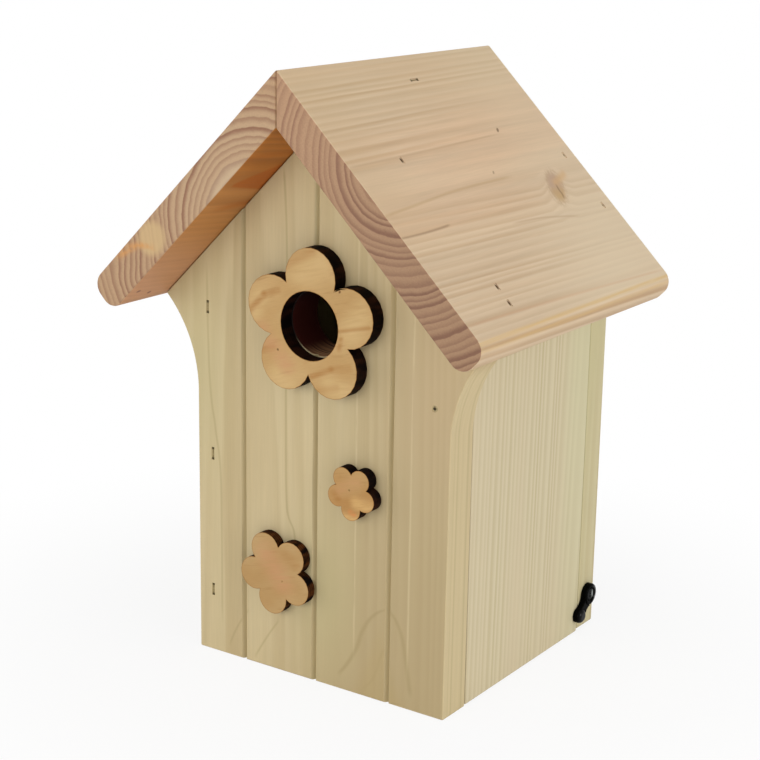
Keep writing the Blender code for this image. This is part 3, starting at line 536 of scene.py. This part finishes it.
def front_pine():
    wood = Timber("front pine", Z, X, Vector((-35, 60, 0)), ring=3.4, taper=0.01, wander=5.0, seed=7)
    across = wood.dot(wood.shift(wood.here, (FRONT_LEFT, 0, 0)), X)
    up = wood.dot(wood.here, Z)
    wood.grow(contrast=0.6)
    side = abs(wood.dot(wood.facing(), X)).ramp(0.6, 0.95)
    wood.band = wood.band * (1 - side * 0.7) * (1 - across.near(42, 22) * 0.55)
    colour = wood.paint(
        early=tone(201, 183, 143), late=tone(187, 167, 126), warm=tone(196, 180, 138),
        end_early=tone(178, 152, 112), end_late=tone(146, 116, 80), fibre=0.08,
    )
    # The face darkens downwards and to the right
    front = wood.dot(wood.facing(), -Y).ramp(0.7, 0.95)
    low = (1 - up.ramp(0, 160)) * across.ramp(15, 75, 0.35, 1.0)
    darker = (across.ramp(35, 120) * 0.6 + low * 0.4).ramp(0.1, 1.0)
    colour = wood.mix(darker * 0.76 * front, colour, tone(172, 152, 113))
    # Rings that show as lines along the board's sides
    for place, width, strength in ((3.6, 0.7, 0.2), (6.4, 1.0, 0.35), (15.2, 1.3, 0.35)):
        depth = wood.dot(wood.here, Y) - FRONT_FACE + (wood.cloud - 0.5) * 2
        line = depth.near(place, width) * (1 - front) * (1 - wood.end)
        colour = wood.mix(line * strength, colour, tone(166, 150, 106))
    pink = across.near(135, 40) * up.near(150, 80) * front
    colour = wood.mix(pink * 0.5, colour, tone(188, 164, 128))
    green = (across.near(0, 30) * up.near(150, 90) + across.near(75, 30) * up.near(45, 60)) * front
    colour = wood.mix(green * 0.45, colour, tone(186, 176, 130))
    # Lines of the grain, as (up, across). The last three form an arch
    olive = tone(160, 142, 98)
    lines = (
        ([(60, 59), (72, 58), (85, 53.5), (130, 52.8), (210, 53), (243, 51.3)], 1.1, 4, 0.5, olive),
        ([(20, 14), (60, 14), (90, 13.6), (115, 10.5), (140, 7.2), (190, 6)], 1.1, 8, 0.4, olive),
        ([(6, 19), (14, 22.5), (26, 30)], 1.1, 3, 0.4, olive),
        ([(4, 35), (14, 41), (25, 48.5)], 1.1, 3, 0.4, olive),
        ([(8, 85), (22, 94), (33, 98), (42, 104), (47, 112)], 2.0, 3, 0.5, olive),
        ([(8, 125), (22, 122.5), (36, 119.5), (47, 112)], 2.0, 3, 0.45, olive),
        ([(4, 99), (12, 105), (22, 108), (28, 111)], 1.4, 3, 0.25, olive),
    )
    colour = wood.with_lines(colour, up, across, lines, front)
    arch = (1 - (abs(across - 107) / 17 + up / 46).ramp(0.5, 1.0)) * front
    colour = wood.mix(arch * 0.4, colour, tone(176, 154, 106))
    for place in (93, 123):
        streak = across.near(place, 0.9) * up.ramp(10, 40) * wood.fibre.ramp(0.35, 0.55)
        colour = wood.mix(streak * 0.5 * front, colour, tone(210, 194, 154))
    # Painted shade darkens the three grooves
    for place in GROOVES:
        cut = across.near(place, 1.9) * (1 - side)
        colour = wood.mix(cut * 0.75, colour, tone(140, 126, 82))
    return wood.finish(with_entrance(wood, colour, front))


def with_entrance(wood, colour, front):
    """The entrance: its wall charred and darkened with painted shade, near black at the upper left and brown
    with charred rings at the lower right.
    """
    from_entrance = wood.shift(wood.here, ENTRANCE)
    right, above = wood.dot(from_entrance, X), wood.dot(from_entrance, Z)
    beyond = distance(right, above) - ENTRANCE_RADIUS
    wall = (1 - beyond.ramp(0.4, 0.9)) * (1 - abs(wood.dot(wood.facing(), Y)).ramp(0.2, 0.6))
    lighter_part = (right * 0.7 - above * 0.9).ramp(3, 14)
    charred = wood.mix(wood.late, tone(186, 138, 98), tone(50, 20, 12))
    # Painted shade on top of the char makes the upper left of the wall near black
    scorched_and_shaded = wood.mix((right + above * 0.4).ramp(-15, -2), tone(66, 22, 16), tone(20, 8, 6))
    colour = wood.mix(wall, colour, wood.mix(lighter_part, scorched_and_shaded, charred))
    # The narrow ring of the front that shows inside the flower's hole, painted dark with char and painted
    # shade, darkest towards its top
    ledge = (1 - beyond.ramp(2.2, 2.8)) * front
    return wood.mix(ledge * (above - right * 0.3).ramp(-15, -3, 0.15, 1.0), colour, tone(24, 11, 8))


def door_pine():
    wood = Timber("door pine", Z, Y, Vector((63, 420, 0)), ring=3.8, taper=0.02, wander=1.6, seed=11)
    across = wood.dot(wood.here, Y)
    # Wider rings towards the door's back edge
    wood.bend((across - 45).high(0) * 0.4)
    wood.grow(contrast=0.4)
    colour = wood.paint(
        early=tone(208, 196, 164), late=tone(191, 176, 139), warm=tone(206, 190, 158),
        end_early=tone(186, 162, 122), end_late=tone(150, 122, 86), fibre=0.06,
    )
    up = wood.dot(wood.here, Z)
    green = across.ramp(38, 62) * up.ramp(0, 160, 0.5, 1.0) * (1 - wood.end)
    colour = wood.mix(green * 0.7, colour, tone(205, 199, 161))
    return wood.finish(colour)


def plain_pine(name, grain, across, heart, seed):
    """The pine of a board that the front view hides."""
    wood = Timber(name, grain, across, Vector(heart), ring=3.6, taper=0.012, wander=4.0, seed=seed)
    wood.grow(contrast=0.4)
    colour = wood.paint(
        early=tone(200, 189, 150), late=tone(190, 175, 135), warm=tone(196, 186, 144),
        end_early=tone(180, 154, 114), end_late=tone(142, 112, 78), fibre=0.08,
    )
    return wood.finish(colour)


def dressed_door(material):
    """The door, a little longer at both ends, most of all at its top: its real joints show as hairlines."""
    piece = merged_copy("side_door", "door_board")
    low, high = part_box("side_door")
    middle = (low.z + high.z) / 2
    more_than_a_step = 0.00075
    steps = ((low.y, True, -0.0006), (low.y, False, -0.0003), (high.y, True, 0.0006), (high.y, False, 0.0005))
    for end, upper, step in steps:
        edit_vertices(piece, lambda at: abs(at.y - end) < more_than_a_step and (at.z > middle) == upper)
        bpy.ops.transform.translate(value=Y * step)
        bpy.ops.object.mode_set(mode="OBJECT")
    smooth(piece)
    dress(piece, material, "side_door", "side_door")


# Flowers


def birch(name, seed, base, warm, streaks, char):
    """Birch plywood, charred where the laser cut it. Its piece's scorch is 1 at the cuts and 0 on the face.

    streaks are washes of colour on the face, each from one (x, z) to another.
    """
    wood = Finish(name)
    here = wood.place()
    x, y, z = (wood.dot(here, axis) for axis in (X, Y, Z))
    lean = z - x * 0.28
    along = x + z * 0.28
    drawn = wood.vector(along * 0.10, y, lean + seed * 23)
    grain = wood.noise(drawn, 0.55, 3.0, 0.6)
    fine = wood.noise(wood.vector(along * 0.08, y, lean), 2.6, 2.0)
    cloud = wood.noise(wood.vector(along * 0.5, y, lean + seed * 7), 0.06, 2.0)
    colour = wood.mix(cloud.ramp(0.35, 0.65), base, warm)
    colour = wood.mix(grain.ramp(0.56, 0.74) * 0.4, colour, tone(160, 120, 72))
    colour = wood.lit(colour, 1 + (fine - 0.5) * 0.16)
    for (from_x, from_z), (to_x, to_z), width, strength, shade in streaks:
        run_x, run_z = to_x - from_x, to_z - from_z
        length = math.hypot(run_x, run_z)
        off_x, off_z = x - from_x, z - from_z
        share = (off_x * (run_x / length ** 2) + off_z * (run_z / length ** 2)).limited()
        off = distance(off_x - share * run_x, off_z - share * run_z)
        wash = (1 - off.ramp(0, width * 1.3)) * grain.ramp(0.3, 0.6, 0.4, 1.0)
        colour = wood.mix(wash * (strength * 1.3), colour, shade)
    scorch = wood.node("ShaderNodeAttribute", {"attribute_name": "scorch"}, output="Fac")
    uneven = wood.noise(here, 0.35, 2.0)
    burnt = (scorch + (uneven - 0.5) * 0.5).ramp(0.35, 1.0)
    colour = wood.mix(burnt * 0.85, colour, tone(150, 100, 48))
    # The cut sides show the plies through the char, whose near black is darkened further with painted shade
    side = 1 - abs(wood.dot(wood.facing(), Y)).ramp(0.25, 0.75)
    ply = (y * 4.4).sine().ramp(-1, 1)
    patches = wood.noise(wood.vector(x, y * 0.3, z), 0.25, 3.0).ramp(0.4, 0.7) * (ply * 0.6 + 0.4)
    colour = wood.mix(side, colour, wood.mix(patches, tone(8, 2, 2), char))
    rough = 0.6 + side * 0.2 + (fine - 0.5) * 0.12
    height = fine * 0.5 + grain * 0.3 - burnt * 0.4
    return wood.surface(colour, rough, height, depth=0.00012, Specular_IOR_Level=0.06)


def dressed_flower(node, name, material):
    """A flower whose face has a narrow scorched rim, set apart so that the rim keeps its width."""
    piece = merged_copy(node, name)
    rim = 0.0006
    face_y = min(vertex.co.y for vertex in piece.data.vertices)
    bpy.ops.object.mode_set(mode="EDIT")
    bpy.ops.mesh.select_all(action="DESELECT")
    bpy.ops.object.mode_set(mode="OBJECT")
    for face in piece.data.polygons:
        face.select = face.normal.y < -0.9 and abs(face.center.y - face_y) < 0.0001
    bpy.ops.object.mode_set(mode="EDIT")
    bpy.ops.mesh.select_mode(type="FACE")
    bpy.ops.mesh.inset(thickness=rim, depth=0)
    bpy.ops.object.mode_set(mode="OBJECT")
    scorch = piece.data.attributes.new("scorch", "FLOAT", "POINT")
    for entry in scorch.data:
        entry.value = 1.0
    for face in piece.data.polygons:
        if face.select:
            for index in face.vertices:
                scorch.data[index].value = 0.0
    # The brads were driven after the cutting, so their holes are clean
    hole_reach = 0.002
    for brad in BRADS:
        hole = shown_end(brad, -Y) / MM
        for index, vertex in enumerate(piece.data.vertices):
            if (vertex.co - hole).xz.length < hole_reach:
                scorch.data[index].value = 0.0
    smooth(piece)
    dress(piece, material, node)


# Fasteners, button and plate


class Steel(Finish):
    """Dull steel, mottled and finely scratched."""

    def __init__(self, name):
        super().__init__(name)
        self.here = self.place()
        self.mottle = self.noise(self.here, 1.4, 3.0)
        self.worn = self.worn_edges(width=0.0003)

    def finish(self, colour, light):
        """The colour, lit from this much upwards by its mottle, and a little more along its edges."""
        colour = self.lit(colour, light + self.mottle * (2 - light * 2) + self.worn * 0.1)
        rough = 0.65 + (self.mottle - 0.5) * 0.3
        scratch = self.noise(self.here, 6.0, 1.0)
        return self.surface(colour, rough, scratch, depth=0.00003, Specular_IOR_Level=0.2)


def pressed_steel(name, nodes, outward, middle, rim, start, end, ragged=0.3, narrow=1.0):
    """Steel driven below the face: one colour at the middle of each end, another from the distance end on."""
    steel = Steel(name)
    stretch = Vector((1, narrow, 1))
    drawn = steel.vector_maths("MULTIPLY", steel.here, stretch)
    ways = [steel.far_from(drawn, shown_end(node, outward) * stretch) for node in nodes]
    nearest = reduce(Wire.low, ways)
    share = (nearest + (steel.mottle - 0.5) * (ragged * 2)).ramp(start, end)
    return steel.finish(steel.mix(share, middle, rim), 0.8)


def staple_crown(name, nodes, outward, along_crown, pine):
    """A crown pressed under the fibres, as a thin dark line between two darker ends where its legs go in:
    painted shade of its sunk slot.
    """
    steel = Steel(name)
    across_crown = along_crown.cross(outward)
    dark, line = 0.0, 0.0
    for node in nodes:
        off = steel.shift(steel.here, shown_end(node, outward))
        along, across = abs(steel.dot(off, along_crown)), abs(steel.dot(off, across_crown))
        this_crown = 1 - along.ramp(3.2, 3.6)
        dark = (1 - across.ramp(0.5, 0.9)) * along.ramp(1.5, 2.4) * this_crown + dark
        line = (1 - across.ramp(0.15, 0.65)) * this_crown + line
    # The crown's line is partly the wire and partly painted shade, and its darker ends are painted shade of
    # the slot
    colour = steel.mix(line * steel.mottle.ramp(0.3, 0.6, 0.4, 0.9), pine, tone(98, 84, 46))
    colour = steel.mix(dark * 0.9, colour, tone(62, 50, 24))
    return steel.finish(colour, 0.85)


def black_screw(name, painted_glint_spot=None):
    """A blackened screw. Where a glint spot is given, a narrow pale metallic patch on one side of the head is
    a painted highlight.
    """
    steel = Finish(name)
    here = steel.place()
    mottle = steel.noise(here, 1.2, 3.0)
    scratch = steel.noise(here, 8.0, 1.0)
    worn = steel.worn_edges(width=0.0003)
    colour = steel.mix(mottle.ramp(0.3, 0.7), tone(16, 16, 17), tone(30, 30, 31))
    colour = steel.lit(colour, 1 + worn * scratch)
    rough = 0.38 + (mottle - 0.5) * 0.2
    if painted_glint_spot is None:
        return steel.surface(colour, rough, scratch, depth=0.00003, IOR=1.15, Metallic=0.6)
    # A painted highlight: a narrow pale metallic patch on the head stands in for a reflection
    off = steel.shift(here, painted_glint_spot)
    back, up = steel.dot(off, Y), steel.dot(off, Z)
    lighter_part = back.ramp(-1.1, 0.1) * (1 - back.ramp(0.4, 1.0)) * (1 - abs(up).ramp(0.8, 2.6))
    lighter_part = lighter_part * mottle.ramp(0.3, 0.6, 0.7, 1.0)
    colour = steel.mix(lighter_part, colour, tone(158, 164, 160))
    return steel.surface(colour, rough - lighter_part * 0.15, scratch, depth=0.00003, IOR=1.1, Metallic=lighter_part)


def zinc():
    """Zinc plate with a faint spangle, brushed across."""
    metal = Finish("zinc plated steel")
    here = metal.place()
    spangle = metal.noise(here, 0.5, 2.0)
    brushed = metal.noise(metal.vector(metal.dot(here, X) * 0.2, 0.0, metal.dot(here, Z) * 5), 1.0, 2.0)
    worn = metal.worn_edges(width=0.0005)
    colour = metal.mix(spangle.ramp(0.35, 0.65), tone(184, 186, 190), tone(206, 207, 208))
    colour = metal.lit(colour, 1 + worn * 0.12)
    rough = 0.36 + (brushed - 0.5) * 0.2 + (spangle - 0.5) * 0.1
    return metal.surface(colour, rough, brushed, depth=0.00004, Metallic=1.0)


def glossy_black():
    """The button's moulded plastic."""
    plastic = Finish("glossy black plastic")
    here = plastic.place()
    speckle = plastic.noise(here, 1.5, 3.0)
    worn = plastic.worn_edges(width=0.0006)
    colour = plastic.mix(speckle.ramp(0.3, 0.7), tone(4, 4, 4), tone(8, 8, 7))
    colour = plastic.lit(colour, 1 + worn * speckle)
    rough = 0.2 + (speckle - 0.5) * 0.06 + worn * 0.05
    # Fingers polish the rim and the knob
    to_boss, to_knob = plastic.far_from(here, BOSS_TOP), plastic.far_from(here, KNOB_TOP)
    behind = plastic.dot(here, Y) - BOSS_TOP.y
    polish = to_boss.ramp(3.7, 4.3) * (1 - to_boss.ramp(5.7, 6.0)) * behind.ramp(1, 3.5)
    polish = polish.high((1 - to_knob.ramp(2.0, 4.4)) * 0.3)
    return plastic.surface(
        colour, rough, speckle, depth=0.00002, IOR=1.06, Coat_Weight=polish, Coat_Roughness=0.14,
    )


def dressed_button(material):
    """The turn button, with the wall of its dish made steeper and its neck as thick as its boss."""
    piece = merged_copy("turn_button", "turn_button_moulding")
    dish_radius, boss_radius, knob_radius = 4.1, 5.65, 3.85
    dish_slope, neck_rise = 1.9, 0.9

    def in_dish(place):
        from_boss = place * MM - BOSS_TOP
        return from_boss.yz.length < dish_radius and -0.9 < from_boss.x < -0.05

    def on_neck(place):
        from_boss, from_knob = place * MM - BOSS_TOP, place * MM - KNOB_TOP
        beside = from_boss.yz.length > boss_radius and from_knob.yz.length > knob_radius
        return beside and from_boss.x > -1.5

    edit_vertices(piece, in_dish)
    bpy.ops.transform.resize(value=(dish_slope, 1, 1), center_override=BOSS_TOP / MM)
    edit_vertices(piece, on_neck)
    bpy.ops.transform.translate(value=X * neck_rise / MM)
    bpy.ops.object.mode_set(mode="OBJECT")
    smooth(piece)
    dress(piece, material, "turn_button", "turn_button")


def filled_in(node, material, outward, head, fill, raised):
    """A fastener with the wood pressed round its head, which fills the hole that the solid leaves clear.

    head is the length that widens by fill and moves out by raised.
    """
    piece = merged_copy(node, node + "_head")
    end = shown_end(node, outward) / MM
    edit_vertices(piece, lambda at: (end - at).dot(outward) < head)
    bpy.ops.transform.resize(value=fill, center_override=end)
    bpy.ops.transform.translate(value=outward * raised)
    bpy.ops.object.mode_set(mode="OBJECT")
    smooth(piece)
    dress(piece, material, node)


# Making it


def make_boards():
    dressed_board("front_panel", "front_board", front_pine())
    dressed_door(door_pine())
    dressed_board("roof_right", "right_roof_board", right_roof_pine())
    dressed_board("roof_left", "left_roof_board", left_roof_pine())
    back = plain_pine("back pine", Z, X, (20, 130, 0), seed=3)
    dressed_board("back_panel", "back_board", back)
    left = plain_pine("left wall pine", Z, Y, (-120, 10, 0), seed=5)
    dressed_board("left_wall", "left_wall_board", left)
    floor = plain_pine("floor pine", X, Y, (0, 12, 60), seed=9)
    dressed_board("floor", "floor_board", floor)


def make_flowers():
    brown, pink, dark = tone(168, 120, 68), tone(196, 146, 106), tone(52, 26, 14)
    light = tone(212, 182, 130)
    around = birch("entrance birch", 1, tone(196, 162, 112), tone(188, 152, 101), (
        ((-4, 200), (6, 206), 9.0, 0.5, light), ((24, 178), (30, 186), 8.0, 0.5, light),
        ((-28, 186), (-30, 178), 6.0, 0.45, light), ((-18, 150), (-10, 146), 7.0, 0.4, light),
        ((12, 150), (20, 148), 7.0, 0.45, light),
        ((-33, 179), (-25, 187), 2.2, 0.6, brown), ((-25, 187), (-17, 190), 2.0, 0.4, brown),
        ((-12, 203), (2, 210), 3.2, 0.35, brown), ((16, 176), (33, 180), 1.4, 0.45, brown),
        ((2, 153), (13, 158), 1.8, 0.6, brown), ((13, 158), (23, 160), 2.2, 0.4, brown),
        ((6, 147), (16, 150), 2.4, 0.25, brown), ((-30, 160), (-20, 163), 2.2, 0.5, brown),
        ((-26, 170), (-12, 156), 6.0, 0.45, pink), ((18, 173), (17, 168), 1.8, 0.5, brown),
    ), dark)
    dressed_flower("entrance_flower", "entrance_flower_face", around)
    upper = birch("upper birch", 4, tone(184, 147, 96), tone(176, 132, 80), (
        ((16, 101), (26, 107), 4.0, 0.3, pink), ((26, 97), (34, 96), 4.0, 0.7, tone(208, 168, 110)),
        ((14, 99), (16, 97), 2.5, 0.5, brown), ((20, 89), (27, 89), 3.0, 0.6, tone(210, 170, 112)),
        ((23, 92), (25, 91.5), 1.8, 0.6, tone(204, 134, 80)),
    ), dark)
    dressed_flower("upper_flower", "upper_flower_face", upper)
    lower = birch("lower birch", 7, tone(187, 155, 108), tone(179, 143, 94), (
        ((-26, 60), (-16, 48), 8.0, 0.5, pink), ((-14, 62), (-8, 58), 4.0, 0.3, brown),
    ), tone(96, 54, 22))
    dressed_flower("lower_flower", "lower_flower_face", lower)


def make_brads():
    for node, middle in BRADS.items():
        end = pressed_steel(node + " end", [node], -Y, middle, tone(188, 150, 100), 0.4, 0.95)
        filled_in(node, end, -Y, head=0.03, fill=(1.49, 1, 1.49), raised=0.00039)


def numbered(name, count):
    """The names of a fastener's copies."""
    return [f"{name}_{number}" for number in range(1, count + 1)]


def make_staples():
    pale = tone(186, 168, 124)
    crowns = (
        ("front staple crown", numbered("front_staple", 3), -Y, Z, pale, (1.45, 1, 1.1)),
        ("back staple crown", numbered("back_staple", 3), Y, Z, pale, (1.45, 1, 1.1)),
        ("side staple crown", numbered("floor_side_staple", 2), -X, Y, pale, (1, 1.1, 1.45)),
        ("low staple crown", numbered("floor_back_staple", 2), Y, X, pale, (1.1, 1, 1.45)),
        ("ridge staple crown", ["ridge_staple"], OFF_RIGHT, Y, ROOF_TONE, (1.35, 1.1, 1.35)),
    )
    for name, nodes, outward, along, wood, fill in crowns:
        crown = staple_crown(name, nodes, outward, along, wood)
        for node in nodes:
            filled_in(node, crown, outward, HEAD_DEPTH, fill, raised=0.0004)


def make_roof_nails():
    right_nails = numbered("roof_right_nail", 5)
    brown, faint = tone(84, 58, 34), tone(124, 106, 76)
    nails = (
        ("flat nail", right_nails[:3], OFF_RIGHT, brown, 0.7, 1.9),
        ("faded flat nail", right_nails[3:], OFF_RIGHT, faint, 0.3, 1.3),
        ("left flat nail", numbered("roof_left_nail", 4), OFF_LEFT, brown, 0.7, 1.9),
    )
    for name, nodes, outward, middle, start, end in nails:
        nail = pressed_steel(name, nodes, outward, middle, ROOF_TONE, start, end, narrow=1.6)
        for node in nodes:
            filled_in(node, nail, outward, HEAD_DEPTH, fill=(1.15, 1.45, 1.15), raised=0.0003)


def make_pivot_nails():
    dark, dusty = tone(46, 36, 16), tone(176, 158, 118)
    for node, outward in (("front_pivot_nail", -Y), ("back_pivot_nail", Y)):
        pivot = pressed_steel(node + " head", [node], outward, dark, dusty, 0.5, 1.2, ragged=0.7)
        filled_in(node, pivot, outward, head=0.001, fill=(1.2, 1, 1.2), raised=0.0002)


def finish_screws_and_plate():
    """These solids stay as they are, and get their materials."""
    screw = black_screw("blackened screw")
    # The button's screw gets a painted highlight on its head
    glint_screw = black_screw("blackened screw with painted glint", BOSS_TOP + Y * 1.6)
    finishes = {"hanging_plate": zinc(), "turn_button_screw": glint_screw}
    for name, node in NODES.items():
        for slot in node.material_slots:
            slot.material = finishes.get(name, screw)


# Studio


def make_floor():
    """A pale floor that keeps the shadow by the object and runs out into the white background."""
    bpy.ops.mesh.primitive_plane_add(size=24)
    floor = bpy.context.active_object
    floor.name = "studio_floor"
    paper = Finish("studio floor")
    here = paper.place()
    out = distance(paper.dot(here, X), paper.dot(here, Y))
    grey = paper.noise(here, 0.02, 2.0)
    colour = paper.mix(grey, tone(246, 246, 245), tone(249, 249, 249))
    paper.feed(paper.shader.inputs["Base Color"], colour)
    paper.shader.inputs["Roughness"].default_value = 0.9
    paper.shader.inputs["Specular IOR Level"].default_value = 0.1
    glow = paper.node("ShaderNodeEmission", {}, {"Color": (1, 1, 1, 1), "Strength": 1.0})
    seen = paper.node("ShaderNodeLightPath", output="Is Camera Ray")
    mirrored = paper.node("ShaderNodeLightPath", output="Is Glossy Ray")
    # Plain white from 330 mm out. Closer to the box a share of the paper shows, with the shadow on it
    share = out.ramp(120, 330, 0.87, 1.0) * seen.high(mirrored)
    diffuse = Wire(paper, paper.shader.outputs["BSDF"])
    both = paper.node("ShaderNodeMixShader", {}, {0: share, 1: diffuse, 2: glow})
    paper.feed(paper.tree.nodes["Material Output"].inputs["Surface"], both)
    floor.data.materials.append(paper.material)


def make_world(strength):
    """White to the camera and in reflections, and of this strength where it lights the object."""
    world = bpy.data.worlds.new("studio")
    bpy.context.scene.world = world
    world.use_nodes = True
    tree = world.node_tree
    background = tree.nodes["Background"]
    background.inputs["Color"].default_value = (1, 1, 1, 1)
    path = tree.nodes.new("ShaderNodeLightPath")
    level = tree.nodes.new("ShaderNodeMapRange")
    level.inputs["To Min"].default_value = 1.0
    level.inputs["To Max"].default_value = strength
    tree.links.new(path.outputs["Is Diffuse Ray"], level.inputs["Value"])
    tree.links.new(level.outputs["Result"], background.inputs["Strength"])


def add_lamp(name, place, size, power):
    """A soft lamp aimed at the middle of the box."""
    middle = Vector((0, 0, 0.15))
    lamp = bpy.data.lights.new(name, "AREA")
    lamp.shape = "RECTANGLE"
    lamp.size, lamp.size_y = size
    lamp.energy = power
    made = bpy.data.objects.new(name, lamp)
    bpy.context.scene.collection.objects.link(made)
    direction = middle - Vector(place)
    made.location = place
    made.rotation_euler = direction.to_track_quat("-Z", "Y").to_euler()


def make_lamps():
    add_lamp("front lamp", (-0.1, -1.65, 0.5), (1.3, 1.1), 12)
    add_lamp("right lamp", (1.7, -0.3, 0.6), (1.0, 1.0), 7.35)
    add_lamp("low right lamp", (1.55, 0.09, 0.26), (0.35, 0.5), 4.7)
    add_lamp("left lamp", (-1.5, -0.9, 0.3), (1.0, 1.0), 6)
    add_lamp("top lamp", (0.3, -0.2, 1.9), (1.2, 1.2), 7.3)


def make_camera():
    """The photo's viewpoint: a little above the box, in front and to its right."""
    camera = bpy.data.cameras.new("camera")
    camera.lens = 85.433
    camera.sensor_width = 36
    camera.clip_start = 0.01
    made = bpy.data.objects.new("camera", camera)
    bpy.context.scene.collection.objects.link(made)
    azimuth, tilt, roll = (math.radians(angle) for angle in (34.189, 74.674, 0.998))
    turn = Matrix.Rotation(azimuth, 4, "Z") @ Matrix.Rotation(tilt, 4, "X") @ Matrix.Rotation(roll, 4, "Z")
    made.matrix_world = Matrix.Translation((0.4683, -0.69519, 0.36682)) @ turn
    bpy.context.scene.camera = made


make_boards()
make_flowers()
dressed_button(glossy_black())
make_brads()
make_staples()
make_roof_nails()
make_pivot_nails()
finish_screws_and_plate()
make_floor()
make_world(strength=0.35)
make_lamps()
make_camera()
bpy.context.scene.view_settings.view_transform = "Standard"
